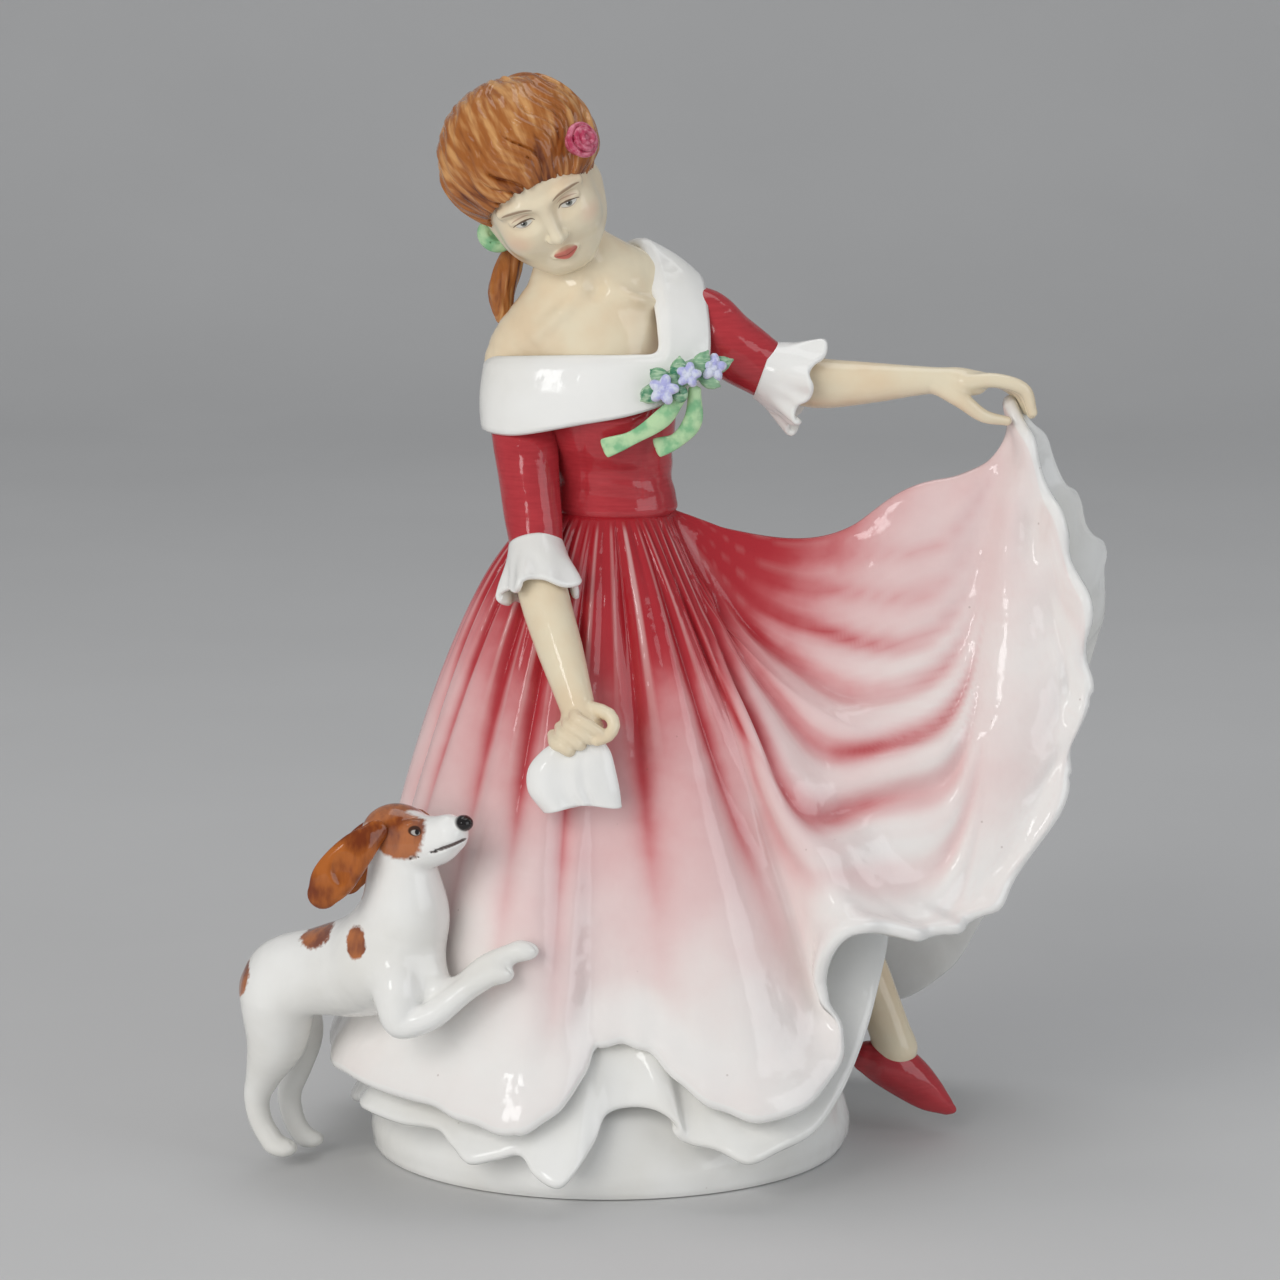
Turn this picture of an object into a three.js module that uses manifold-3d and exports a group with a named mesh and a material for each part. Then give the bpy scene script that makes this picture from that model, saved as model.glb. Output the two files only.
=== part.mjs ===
// Porcelain lady figurine with a leaping spaniel, as the cast and hand-modelled pieces
// that a potter sticks together. Millimetres, +Z up, +X to the lady's left hand, -Y to the front.
// The origin is the middle of the flat underside.
import * as THREE from "three";
import { mergeVertices } from "three/addons/utils/BufferGeometryUtils.js";
import Module from "manifold-3d";

const wasm = await Module();
wasm.setup();

// Driving dimensions
const slipGap = 0.3; // room for slip at every stuck seat
const sliver = 0.06; // detail finer than this is left out where pieces are cut
const castWall = 1.8; // wall of the hollow cast pieces
const plinth = { halfWidth: 45.5, halfDepth: 40, edge: 6.5, height: 19, shoulder: 9.5, floor: 3.2 };
const plinthHollow = { halfWidth: 30, halfDepth: 26 };
const vent = { radius: 2.5, back: 18 }; // hole for the kiln, in the plinth's underside
const waist = { height: 122.5, halfWidth: 11.8, halfDepth: 9.6 };
const hem = { reach: 51, depth: 49, height: 16 };
const pinch = { x: 76, y: 0.5, up: 18 }; // where the left hand lifts the hem, measured from the waist
const pleats = { count: 22, depth: 0.9 };
const folds = { count: 11, depth: 1.3 }; // broad folds that the pleats run into towards the hem
const swags = { pitch: 15, depth: 1.7 }; // folds that hang between the waist and the lifting hand
const frill = { top: 94, topRadius: 10, inset: 4, flutes: 12, fluteDepth: 2.4, lowest: 7.5 };
const neck = { radius: 6.2, seatDepth: 6 };
const headPlace = [-13, -8, 61.4]; // middle of the head from the waist
const headTilt = { lean: -25, nod: 29 }; // degrees, towards the dog and down
const head = { halfWidth: 11, halfDepth: 12.6, halfHeight: 13 };
const hairDepth = 3.2;
const hairlineDepth = 3.2; // how far the hairline lies in front of the middle of the head
const wristRadius = { right: 3.3, left: 2.5 };
const cuff = { topRadius: 5.1, flare: 2.9, length: 8.5, wall: 1.1, waves: 5 };
const collarThickness = 2.2;
const ankleRadius = 3.4;
const dogPlace = { x: -49.5, y: -27, z: 40 }; // middle of the dog's trunk

// Shape helpers

const vec = (x, y, z) => new THREE.Vector3(x, y, z);

// Value at t (0 to 1) of a smooth curve through evenly spaced numbers.
function smoothValue(values, t) {
  const spline = new THREE.SplineCurve(values.map((value, index) => new THREE.Vector2(index, value)));
  return spline.getPoint(t).y;
}

// Value at t (0 to 1, repeating) of a smooth closed curve through evenly spaced numbers.
function cyclicValue(values, t, turn = 0) {
  const count = values.length;
  const place = t * count;
  const first = Math.floor(place);
  const at = (index) => {
    const laps = Math.floor(index / count);
    return values[index - laps * count] + laps * turn;
  };
  const [a, b, c, d] = [at(first - 1), at(first), at(first + 1), at(first + 2)];
  const f = place - first;
  return b + 0.5 * f * (c - a + f * (2 * a - 5 * b + 4 * c - d + f * (3 * (b - c) + d - a)));
}

// Closed skin over rings of equal length. A ring of one point is a pole, and an end ring is closed by a fan.
function skin(rings, looped = false) {
  const points = [];
  const faces = [];
  const starts = rings.map((ring) => {
    points.push(...ring);
    return points.length - ring.length;
  });
  const sides = Math.max(...rings.map((ring) => ring.length));
  const index = (r, k) => starts[r] + (rings[r].length === 1 ? 0 : k % sides);
  const last = looped ? rings.length : rings.length - 1;
  for (let r = 0; r < last; r++) {
    const next = (r + 1) % rings.length;
    for (let k = 0; k < sides; k++) {
      const [a, b, c, d] = [index(r, k), index(r, k + 1), index(next, k + 1), index(next, k)];
      if (a !== b) faces.push(a, b, c);
      if (c !== d) faces.push(a, c, d);
    }
  }
  const fan = (r, turned) => {
    if (rings[r].length === 1) return;
    const middle = rings[r].reduce((sum, p) => sum.add(p), vec(0, 0, 0)).divideScalar(sides);
    points.push(middle);
    for (let k = 0; k < sides; k++) {
      const edge = [index(r, k), index(r, k + 1)];
      faces.push(points.length - 1, ...(turned ? edge.reverse() : edge));
    }
  };
  if (!looped) {
    fan(0, true);
    fan(rings.length - 1, false);
  }
  const geometry = new THREE.BufferGeometry().setFromPoints(points);
  geometry.setIndex(faces);
  return solidOf(geometry);
}

// A closed geometry as a solid with its faces pointing out.
function solidOf(geometry) {
  const bare = geometry.clone();
  bare.deleteAttribute("normal");
  bare.deleteAttribute("uv");
  const merged = mergeVertices(bare, 1e-4);
  const vertProperties = new Float32Array(merged.getAttribute("position").array);
  const build = (triVerts) => new wasm.Manifold(new wasm.Mesh({ numProp: 3, vertProperties, triVerts }));
  const triVerts = new Uint32Array(merged.index.array);
  const made = build(triVerts);
  return made.volume() > 0 ? made : build(triVerts.slice().reverse());
}

// Round or oval section swept along a smooth line. A station is x, y, z, half width, half depth.
function limb(stations, { sides = 12, steps = 8, grow = 0, round = [false, false] } = {}) {
  const line = new THREE.CatmullRomCurve3(stations.map(([x, y, z]) => vec(x, y, z)));
  const widths = stations.map((station) => station[3]);
  const depths = stations.map((station) => station[4] ?? station[3]);
  const section = (t, shrink, along) => {
    const tangent = line.getTangent(t);
    const depthWay = vec(0, 1, 0).addScaledVector(tangent, -tangent.y).normalize();
    const widthWay = vec(0, 0, 0).crossVectors(depthWay, tangent);
    const middle = line.getPoint(t).addScaledVector(tangent, along);
    const halfWidth = (smoothValue(widths, t) + grow) * shrink;
    const halfDepth = (smoothValue(depths, t) + grow) * shrink;
    return Array.from({ length: sides }, (_, k) => {
      const angle = (2 * Math.PI * k) / sides;
      return middle
        .clone()
        .addScaledVector(widthWay, halfWidth * Math.cos(angle))
        .addScaledVector(depthWay, halfDepth * Math.sin(angle));
    });
  };
  // A rounded end is a quarter circle of shrinking sections beyond the station.
  const ends = (t, way) => {
    const bulge = (Math.min(smoothValue(widths, t), smoothValue(depths, t)) + grow) * 0.8;
    const rises = sides > 10 ? [0.5, 0.85] : [0.7];
    const slices = rises.map((rise) => section(t, Math.sqrt(1 - rise * rise), way * bulge * rise));
    const tip = [line.getPoint(t).addScaledVector(line.getTangent(t), way * bulge)];
    return [...slices, tip];
  };
  const rings = Array.from({ length: steps + 1 }, (_, i) => {
    const end = i === 0 ? -1 : i === steps ? 1 : 0;
    return section(i / steps, 1, end * grow);
  });
  if (round[0]) rings.unshift(...ends(0, -1).reverse());
  if (round[1]) rings.push(...ends(1, 1));
  return skin(rings);
}

// Egg of the given middle and half sizes.
function egg([x, y, z], [halfX, halfY, halfZ], { grow = 0, around = 14, rows = 9 } = {}) {
  const geometry = new THREE.SphereGeometry(1, around, rows);
  geometry.rotateX(Math.PI / 2).scale(halfX + grow, halfY + grow, halfZ + grow).translate(x, y, z);
  return solidOf(geometry);
}

// Joins solids that are cast in one.
const join = (...solids) => solids.reduce((whole, part) => whole.add(part)).simplify(sliver);

// Cuts a blank back from its neighbours and keeps the main body.
function carve(blank, ...cutters) {
  const cut = cutters.reduce((left, cutter) => left.subtract(cutter), blank);
  const main = cut.decompose().reduce((a, b) => (a.volume() > b.volume() ? a : b));
  return main.simplify(sliver);
}

const moved = (solid, matrix) => solid.transform(matrix.elements);

// Glazes
const glaze = (color, roughness = 0.18) => new THREE.MeshStandardMaterial({ color, roughness, metalness: 0 });
const glazes = {
  white: glaze(0xf2f2ef),
  crimson: glaze(0xa3232b),
  rose: glaze(0xd98a93),
  skin: glaze(0xe6dcc0, 0.3),
  auburn: glaze(0x9a4a17, 0.25),
  leaf: glaze(0x8fc79a),
  lilac: glaze(0xb4b8e0),
  pink: glaze(0xb23a57),
  chestnut: glaze(0x9c4510),
};

// A named mesh of a finished solid.
function piece(name, solid, material) {
  const { numProp, vertProperties, triVerts } = solid.getMesh();
  const points = new Float32Array((vertProperties.length / numProp) * 3);
  for (let i = 0; i < points.length / 3; i++) {
    points.set(vertProperties.subarray(i * numProp, i * numProp + 3), i * 3);
  }
  const geometry = new THREE.BufferGeometry();
  geometry.setAttribute("position", new THREE.BufferAttribute(points, 3));
  geometry.setIndex(new THREE.BufferAttribute(triVerts, 1));
  geometry.computeVertexNormals();
  const mesh = new THREE.Mesh(geometry, material);
  mesh.name = name;
  return mesh;
}

// Plinth: a low oval mound, hollow from above, with a flat underside and a vent for the kiln.
function plinthSolid(grow = 0) {
  const { halfWidth, halfDepth, edge, height, shoulder } = plinth;
  const profile = new THREE.Path();
  profile.moveTo(0, -grow);
  profile.lineTo(halfWidth - 1.5, -grow);
  profile.quadraticCurveTo(halfWidth + 1 + grow, edge * 0.35, halfWidth + grow, edge);
  profile.quadraticCurveTo(halfWidth - shoulder / 4, height * 0.86, halfWidth - shoulder, height + grow);
  profile.lineTo(0, height + grow);
  const lathe = new THREE.LatheGeometry(profile.getPoints(3), 38);
  lathe.rotateX(Math.PI / 2).scale(1, halfDepth / halfWidth, 1);
  return solidOf(lathe);
}

function plinthPiece() {
  const { floor, height } = plinth;
  const hole = new THREE.CylinderGeometry(vent.radius, vent.radius, height * 3, 16);
  hole.rotateX(Math.PI / 2).translate(0, vent.back, 0);
  const hollow = new THREE.CylinderGeometry(1, 1, height, 32);
  hollow.rotateX(Math.PI / 2).scale(plinthHollow.halfWidth, plinthHollow.halfDepth, 1);
  hollow.translate(0, 0, floor + height / 2);
  return carve(plinthSolid(), solidOf(hole), solidOf(hollow));
}

// Skirt: one sheet from the waist to a waved hem that the left hand lifts at one point.
// A lying station gives the waist angle, the hem angle, and how far out and up the hem stands from
// the usual ring. A lifted station gives the waist angle and the hem's place from the pinch.
// Sag is how far the cloth hangs below the straight line from waist to hem, and gather draws the
// hanging cloth towards the hem. Angles are in degrees from +X, through the back at 90.
const lying = (waistAngle, hemAngle, out, up, sag = -23) => ({
  waistAngle,
  sag,
  gather: 0,
  hem: vec(
    (hem.reach + out) * Math.cos(THREE.MathUtils.degToRad(hemAngle)),
    (hem.depth + out) * Math.sin(THREE.MathUtils.degToRad(hemAngle)),
    hem.height + up,
  ),
});
const lifted = (waistAngle, [dx, dy, dz], sag, gather = 0) => ({
  waistAngle,
  sag,
  gather,
  hem: vec(pinch.x + dx, pinch.y + dy, waist.height + pinch.up + dz),
});
const skirtStations = [
  lying(252, 252, 0, 0, -14),
  lying(261, 260, -4, 6, -13),
  lying(268, 266, -11, 14, -12),
  lying(277, 280, -11, 14, -12),
  lying(287, 293, -3, 5, -12),
  lying(295, 304, 3, 2, -11),
  lying(303, 319, 3, 9, -8),
  lying(309, 321, 0, 22, -2),
  lifted(316, [-32, -36, -90], 6),
  lifted(322, [-18, -31, -92], 14),
  lifted(329, [-6, -24, -88], 23),
  lifted(337, [9, -17, -62], 35),
  lifted(344, [12, -13, -40], 42),
  lifted(352, [6, -6, -18], 42),
  lifted(360, [0, 0, 0], 18, 0.16),
  lifted(368, [10, 7, -16], 42),
  lifted(376, [18, 16, -33], 38),
  lifted(386, [15, 26, -53], 26),
  lifted(398, [2, 35, -96], 8),
  lying(412, 396, 22, 2, -8),
  lying(430, 415, 10, 5, -18),
  lying(448, 437, 0, 9),
  lying(465, 464, 3, -2),
  lying(485, 489, -1, 7),
  lying(510, 513, 4, -3),
  lying(535, 536, -1, 7),
  lying(565, 563, 2, 1),
  lying(590, 591, 0, -1, -18),
];
const hemLine = new THREE.CatmullRomCurve3(
  skirtStations.map((station) => station.hem),
  true,
);
const skirtAngles = skirtStations.map((station) => THREE.MathUtils.degToRad(station.waistAngle));
const skirtSags = skirtStations.map((station) => station.sag);
const skirtGathers = skirtStations.map((station) => station.gather);
const deepestSag = Math.max(...skirtSags);
const softSag = 12; // eases the change from cloth that stands out to cloth that hangs

// Hem at t, evened out over its neighbours by binomial weights.
function evenHem(t) {
  const near = 0.8 / skirtStations.length;
  const weights = [1, 4, 6, 4, 1];
  const sum = vec(0, 0, 0);
  weights.forEach((weight, index) => {
    const place = (((t + (index - 2) * near) % 1) + 1) % 1;
    sum.addScaledVector(hemLine.getPoint(place), weight / 16);
  });
  return sum;
}

// Point of the smooth cloth at a share t round the hem and a share v down from the waist.
function cloth(t, v) {
  const angle = cyclicValue(skirtAngles, t, 2 * Math.PI);
  const sag = cyclicValue(skirtSags, t);
  const gather = cyclicValue(skirtGathers, t);
  const top = vec(waist.halfWidth * Math.cos(angle), waist.halfDepth * Math.sin(angle), waist.height);
  const foot = hemLine.getPoint(((t % 1) + 1) % 1);
  const even = evenHem(t);
  const spare = Math.hypot(sag, softSag);
  const hung = THREE.MathUtils.clamp((spare + sag) / 2 / deepestSag, 0, 1);
  const belly = THREE.MathUtils.clamp(Math.sin(angle) * 4, -1, 1) * 0.14 * (spare + sag);
  const flare = 0.095 * (spare - sag);
  const outward = vec(Math.cos(angle), Math.sin(angle), 0);
  const handle = (share, drop, end) =>
    top
      .clone()
      .lerp(end, share)
      .addScaledVector(outward, flare * drop)
      .add(vec(0, belly, -sag * drop));
  const upper = handle(1 / 3 - 0.1 * hung + gather, 1, even);
  const lower = handle(2 / 3 + 0.17 * hung + gather, 0.46 + 0.5 * hung, even.clone().lerp(foot, 0.5));
  return new THREE.CubicBezierCurve3(top, upper, lower, foot).getPoint(v);
}

function clothNormal(t, v) {
  const step = 1e-3;
  const low = Math.max(v, 0.02);
  const around = cloth(t + step, low).sub(cloth(t - step, low));
  const down = cloth(t, Math.min(low + step, 1)).sub(cloth(t, low - step));
  return vec(0, 0, 0).crossVectors(down, around).normalize();
}

// Pleats stand proud below the waist and die out towards the hem, where the broad folds take over.
const pleatDepth = (v) => pleats.depth * Math.min(1, v / 0.08) * (1 - v) ** 1.3;
const foldDepth = (v) => folds.depth * THREE.MathUtils.smoothstep(v, 0.15, 0.7);

// Degrees between t's place on the waist and the ridge that runs to the hand.
function fromRidge(t) {
  return Math.abs(THREE.MathUtils.radToDeg(cyclicValue(skirtAngles, t, 2 * Math.PI)) - 360);
}

// How far the cloth at t belongs to the lifted side: 1 beside the hand, 0 on the lying skirt.
const liftedShare = (t) => 1 - THREE.MathUtils.smoothstep(fromRidge(t), 22, 55);

// Share of the wall that is left where the front and the back of the cloth meet at the ridge.
const ridgeThinning = (t) => THREE.MathUtils.lerp(0.3, 1, THREE.MathUtils.smoothstep(fromRidge(t), 6, 40));

// Swags lie on arcs that run from the waist to the hand.
function swagRise(point) {
  const [waistX, handX] = [waist.halfWidth, pinch.x];
  const handHeight = waist.height + pinch.up;
  const toWaist = new THREE.Vector2(waistX - point.x, waist.height - point.z);
  const toHand = new THREE.Vector2(handX - point.x, handHeight - point.z);
  const nearest = Math.min(toWaist.length(), toHand.length());
  const opening = Math.abs(toWaist.angle() - toHand.angle());
  const drop = (handX - waistX) / 2 / Math.tan(Math.max(opening, 0.2) / 2);
  return swags.depth * Math.min(1, nearest / 24) * Math.sin((2 * Math.PI * drop) / swags.pitch);
}

// Height of the folds over the smooth cloth.
function foldRise(t, v) {
  const share = liftedShare(t);
  const turn = 2 * Math.PI * t;
  const hanging = pleatDepth(v) * Math.cos(pleats.count * turn) + foldDepth(v) * Math.cos(folds.count * turn);
  return (1 - share) * hanging + share * swagRise(cloth(t, v)) * Math.min(1, v / 0.1);
}

const skirtSides = pleats.count * 4;

function skirtRing(v, offset) {
  return Array.from({ length: skirtSides }, (_, k) => {
    const t = k / skirtSides;
    return cloth(t, v).addScaledVector(clothNormal(t, v), offset(t));
  });
}

// The skirt's shell. Growing it moves both faces outwards and inwards, to cut the pieces that meet it.
function skirtSolid(grow = 0) {
  const outerRows = Array.from({ length: 16 }, (_, row) => row / 15);
  const innerRows = [1, 0.92, 0.76, 0.58, 0.4, 0.22];
  const outer = outerRows.map((v) => skirtRing(v, (t) => grow + foldRise(t, v)));
  const wall = (t, v) => (castWall + pleatDepth(v)) * ridgeThinning(t) + grow;
  const inner = innerRows.map((v) => skirtRing(v, (t) => foldRise(t, v) * v ** 2 - wall(t, v)));
  return skin([...outer, ...inner]);
}

// Petticoat: a cone under the skirt, closed at the top and open below, with a fluted frill.
// A point of it is given by a share down from the top, an angle, a distance in from the outside,
// and a drop of the frill.
function petticoatPoint(share, angle, inset, drop = 0) {
  const wave = frill.flutes * angle + 1.4 * Math.sin(3 * angle);
  const flute = frill.fluteDepth * share ** 3 * Math.cos(wave) - inset;
  const reach = THREE.MathUtils.lerp(frill.topRadius, hem.reach - frill.inset, share ** 0.9) + flute;
  const depth = THREE.MathUtils.lerp(frill.topRadius, hem.depth - frill.inset, share ** 0.9) + flute;
  const lowest = frill.lowest + 3 - 3 * Math.cos(wave + 1) - drop;
  const height = THREE.MathUtils.lerp(frill.top, lowest, share);
  return vec(reach * Math.cos(angle), depth * Math.sin(angle), height);
}
const petticoatSides = frill.flutes * 4;
const petticoatShares = [0, 0.35, 0.65, 0.82, 0.92, 1];
function petticoatRing(share, inset, drop) {
  return Array.from({ length: petticoatSides }, (_, k) =>
    petticoatPoint(share, (2 * Math.PI * k) / petticoatSides, inset, drop),
  );
}

// The petticoat's shell, and the room that it takes up.
function petticoatShell() {
  const outer = petticoatShares.map((share) => petticoatRing(share, 0));
  const inner = [1, 0.85, 0.5, 0.1].map((share) => petticoatRing(share, castWall + frill.fluteDepth * 0.3));
  return skin([...outer, ...inner]);
}
function petticoatRoom(grow) {
  return skin(petticoatShares.map((share) => petticoatRing(share, -grow, grow)));
}

// Ring inside the petticoat that it stands on the plinth with.
function petticoatSeat() {
  const floor = plinth.height + slipGap;
  const share = (frill.top - floor) / (frill.top - frill.lowest - 3);
  const ring = (height, edge) =>
    Array.from({ length: petticoatSides }, (_, k) => edge((2 * Math.PI * k) / petticoatSides).setZ(height));
  const wall = (angle) => petticoatPoint(share, angle, castWall * 0.7);
  const hole = (angle) =>
    vec(plinthHollow.halfWidth * Math.cos(angle), plinthHollow.halfDepth * Math.sin(angle), 0);
  const top = floor + castWall;
  return skin([ring(floor, wall), ring(top, wall), ring(top, hole), ring(floor, hole)], true);
}

// Leg and shoe, reaching out from under the lifted hem.
const legStations = [
  [24, 9, 58, 6],
  [42, 7.4, 42, 5.4],
  [52.6, 4.6, 28, 4.3],
  [55.5, 4, 20.5, ankleRadius],
];
const shoeStations = [
  [47.8, 4, 13.6, 3.2, 3],
  [53.5, 4, 12.6, 4.6, 3.6],
  [59, 4, 9.5, 4, 3.5],
  [63.5, 4, 6.2, 2.5, 2.7],
  [66, 4, 4.6, 1.5, 1.7],
];
const ankleStations = [
  [55.5, 4, 20.5, ankleRadius],
  [55, 4, 15, ankleRadius],
];
const legBlank = (grow = 0) => limb(legStations, { grow });
const shoeBlank = () => limb(shoeStations, { round: [true, true], steps: 7 });
const ankleBlank = (grow = 0) => limb([...ankleStations], { steps: 2, grow });

// Torso, in a group that stands at the waist

const bodiceStations = [
  [0.8, 0, slipGap, waist.halfWidth, waist.halfDepth],
  [0.8, 0, 4, waist.halfWidth - 0.6, waist.halfDepth - 0.2],
  [0.8, -0.6, 10, 11.2, 9.8],
  [0.5, -2.6, 19, 12.4, 11.8],
  [-0.5, -1.6, 25, 12.6, 10.4],
];
const bodiceBlank = (grow = 0) => limb(bodiceStations, { sides: 18, steps: 6, grow });

function shouldersBlank(grow = 0) {
  const chest = limb(
    [
      [-0.8, -1.2, 25 + slipGap, 13, 9.8],
      [-2.4, -0.8, 32, 13.6, 9.4],
      [-4.2, 0.6, 41, 9.4, 7.8],
    ],
    { sides: 16, steps: 4, grow },
  );
  const yoke = limb(
    [
      [-16, -2.6, 19.6, 5, 4.8],
      [-16.8, 0, 27.6, 6.2, 6],
      [-10, 1, 34.6, 8.2, 7.4],
      [-0.5, 2, 41.2, 8.8, 7.8],
      [5, 3, 41.6, 6.6, 6.2],
      [10, 3, 38.4, 4.8, 4.9],
      [17, 1.4, 34.6, 4.2, 4.2],
    ],
    { sides: 14, steps: 9, grow, round: [true, true] },
  );
  return join(chest, yoke);
}

// Neck, cast with the head, from its seat between the shoulders to the jaw.
const neckStations = [
  [-3.4, 1.8, 46 - neck.seatDepth, neck.radius * 0.9],
  [-5.4, 0.6, 46, neck.radius],
  [-8.6, -2.2, 52, neck.radius * 0.96],
  [-11, -5, 57, neck.radius],
];
const neckBlank = (grow = 0) => limb(neckStations, { steps: 6, grow });

// Collar: a broad band round the shoulders. A station is the upper edge and the lower edge.
const collarStations = [
  [-22.8, -1, 28.4, -23.6, -1.4, 15],
  [-16.4, -9.6, 29.4, -17.4, -12.6, 15.2],
  [-5, -12.6, 30, -5, -15.6, 17.6],
  [5, -13, 30.2, 5.2, -15.8, 19.6],
  [10.2, -12.2, 30.8, 12.6, -13.6, 22],
  [10.6, -9.2, 35, 18.6, -9.6, 27],
  [9.4, -3.8, 42, 19, -2.4, 38],
  [6.4, 4.4, 50.4, 17.4, 6, 42.6],
  [0, 10, 46.6, 9.6, 13, 29],
  [-10, 10.8, 38, -7, 13.8, 20.6],
  [-19.8, 7, 31.6, -20.4, 9.4, 16.4],
];
function collarBlank(grow = 0) {
  const edge = (first) =>
    new THREE.CatmullRomCurve3(
      collarStations.map((station) => vec(...station.slice(first, first + 3))),
      true,
    );
  const [upper, lower] = [edge(0), edge(3)];
  const middle = vec(-3, 0, 32);
  const sides = 30;
  const rings = Array.from({ length: sides }, (_, k) => {
    const [top, foot] = [upper.getPoint(k / sides), lower.getPoint(k / sides)];
    const inward = middle.clone().sub(top.clone().lerp(foot, 0.5)).normalize();
    const outer = [0, 0.3, 0.7, 1].map((share) => {
      const swell = 0.9 * Math.sin(Math.PI * share) + grow;
      const beyond = (grow / top.distanceTo(foot)) * (2 * share - 1);
      return top
        .clone()
        .lerp(foot, share + beyond)
        .addScaledVector(inward, -swell);
    });
    const inner = [0.94, 0.06].map((share) =>
      top.clone().lerp(foot, share).addScaledVector(inward, collarThickness),
    );
    return [...outer, ...inner];
  });
  return skin(rings, true);
}

// Sleeves
const rightSleeve = [
  [-15.8, -3.6, 18.6, 6.3, 6],
  [-14.9, -6.4, 12.6, 6.1, 5.8],
  [-13.8, -11, 2.2, 5.3, 5.2],
  [-13.3, -14, -4.6, 4.8, 4.8],
];
const leftSleeve = [
  [17.6, 1.6, 35.6, 5.8, 5.6],
  [22.4, 0.5, 31, 6.1, 5.9],
  [28, 0, 26.2, 5.3, 5.2],
];
const sleeveBlank = (stations, grow = 0) => limb(stations, { sides: 14, steps: 6, grow });

// Cuff: a waved frill that flares from the sleeve's end, hollow for the forearm.
function cuffSolid(from, to) {
  const line = new THREE.LineCurve3(vec(...from), vec(...to));
  const axis = line.getTangent(0);
  const depthWay = vec(0, 1, 0).addScaledVector(axis, -axis.y).normalize();
  const widthWay = vec(0, 0, 0).crossVectors(depthWay, axis);
  const sides = cuff.waves * 5;
  const ring = (share, inset) =>
    Array.from({ length: sides }, (_, k) => {
      const angle = (2 * Math.PI * k) / sides;
      const wave = share ** 2 * Math.cos(cuff.waves * angle);
      const radius = cuff.topRadius + cuff.flare * share ** 1.5 + 0.5 * wave - inset;
      const along = share * cuff.length + 0.7 * share ** 2 * Math.sin(cuff.waves * angle);
      return vec(...from)
        .addScaledVector(axis, along)
        .addScaledVector(widthWay, radius * Math.cos(angle))
        .addScaledVector(depthWay, radius * Math.sin(angle));
    });
  const outer = [0, 0.35, 0.7, 1].map((share) => ring(share, 0));
  const inner = [1, 0.75, 0.5].map((share) => ring(share, cuff.wall));
  return skin([...outer, ...inner]);
}
const rightCuff = { from: [-13.2, -14.3, -5.2], to: [-12.2, -19.4, -13.6] };
const leftCuff = { from: [28.6, 0, 26], to: [38, -0.3, 23.4] };

// Forearms with their hands
function rightForearm(grow = 0) {
  const arm = limb(
    [
      [-12.75, -16.75, -9.15, 3.9],
      [-11.8, -18.8, -12.4, 4.9],
      [-8.6, -25, -22, 4.3],
      [-5.6, -30.4, -30.8, wristRadius.right],
      [-4.6, -32, -34, 3.6, 3.3],
    ],
    { sides: 12, steps: 7, grow },
  );
  const fist = egg([-4.4, -32.4, -34.6], [4.6, 3.9, 3.7], { grow, around: 12, rows: 7 });
  const fingers = [0, 1, 2, 3].map((k) =>
    limb(
      [
        [-8.2 + 2.5 * k, -33, -34.2 + 0.9 * k, 1.4],
        [-8 + 2.5 * k, -36, -35.8 + 0.9 * k, 1.4],
        [-7.6 + 2.4 * k, -35.2, -38.2 + 0.9 * k, 1.2],
      ],
      { sides: 6, steps: 3, grow, round: [true, true] },
    ),
  );
  return join(arm, fist, ...fingers);
}

function leftForearm(grow = 0) {
  const arm = limb(
    [
      [33.05, -0.15, 24.8, 3.7],
      [38.6, -0.3, 23.5, 4.4],
      [48, -1, 23.6, 3.8, 3.6],
      [59.6, -2, 24.2, wristRadius.left],
      [65, -2, 24, 3, 2.1],
      [69, -2, 23.6, 2.4, 2],
    ],
    { sides: 12, steps: 8, grow, round: [false, true] },
  );
  const fingers = [0, 1, 2].map((k) =>
    limb(
      [
        [66.5, -3.6 + 1.7 * k, 24, 1.5],
        [71.5, -3.8 + 1.7 * k, 23.7, 1.4],
        [76, -3.4 + 1.5 * k, 21.5, 1.2],
        [77.6, -2.8 + 1.3 * k, 18.4, 1],
      ],
      { sides: 6, steps: 4, grow, round: [true, true] },
    ),
  );
  const thumb = limb(
    [
      [62.5, -3, 22.6, 1.7],
      [67.5, -3.6, 19.8, 1.4],
      [72.8, -3.4, 17.4, 1.1],
    ],
    { sides: 6, steps: 4, grow, round: [true, true] },
  );
  return join(arm, thumb, ...fingers);
}

// Handkerchief: a folded square held by its middle, hanging from the fist.
function handkerchiefSolid() {
  const sides = 24;
  const ring = (share, halfWidth, halfDepth, height) =>
    Array.from({ length: sides }, (_, k) => {
      const angle = (2 * Math.PI * k) / sides;
      const fold = 1 + 0.16 * share * Math.cos(5 * angle + 0.6);
      return vec(
        -4.3 - 2 * share + halfWidth * fold * Math.cos(angle),
        -33.6 - 1.6 * share + halfDepth * fold * Math.sin(angle),
        height + 0.9 * share * Math.cos(angle + 0.5),
      );
    });
  return skin([
    ring(0, 3.6, 1.6, -37),
    ring(0.35, 6.4, 2.4, -39.6),
    ring(0.7, 8, 2.9, -44),
    ring(0.95, 8.2, 3.1, -48.2),
    ring(1, 7.4, 2.4, -49.4),
  ]);
}

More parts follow.
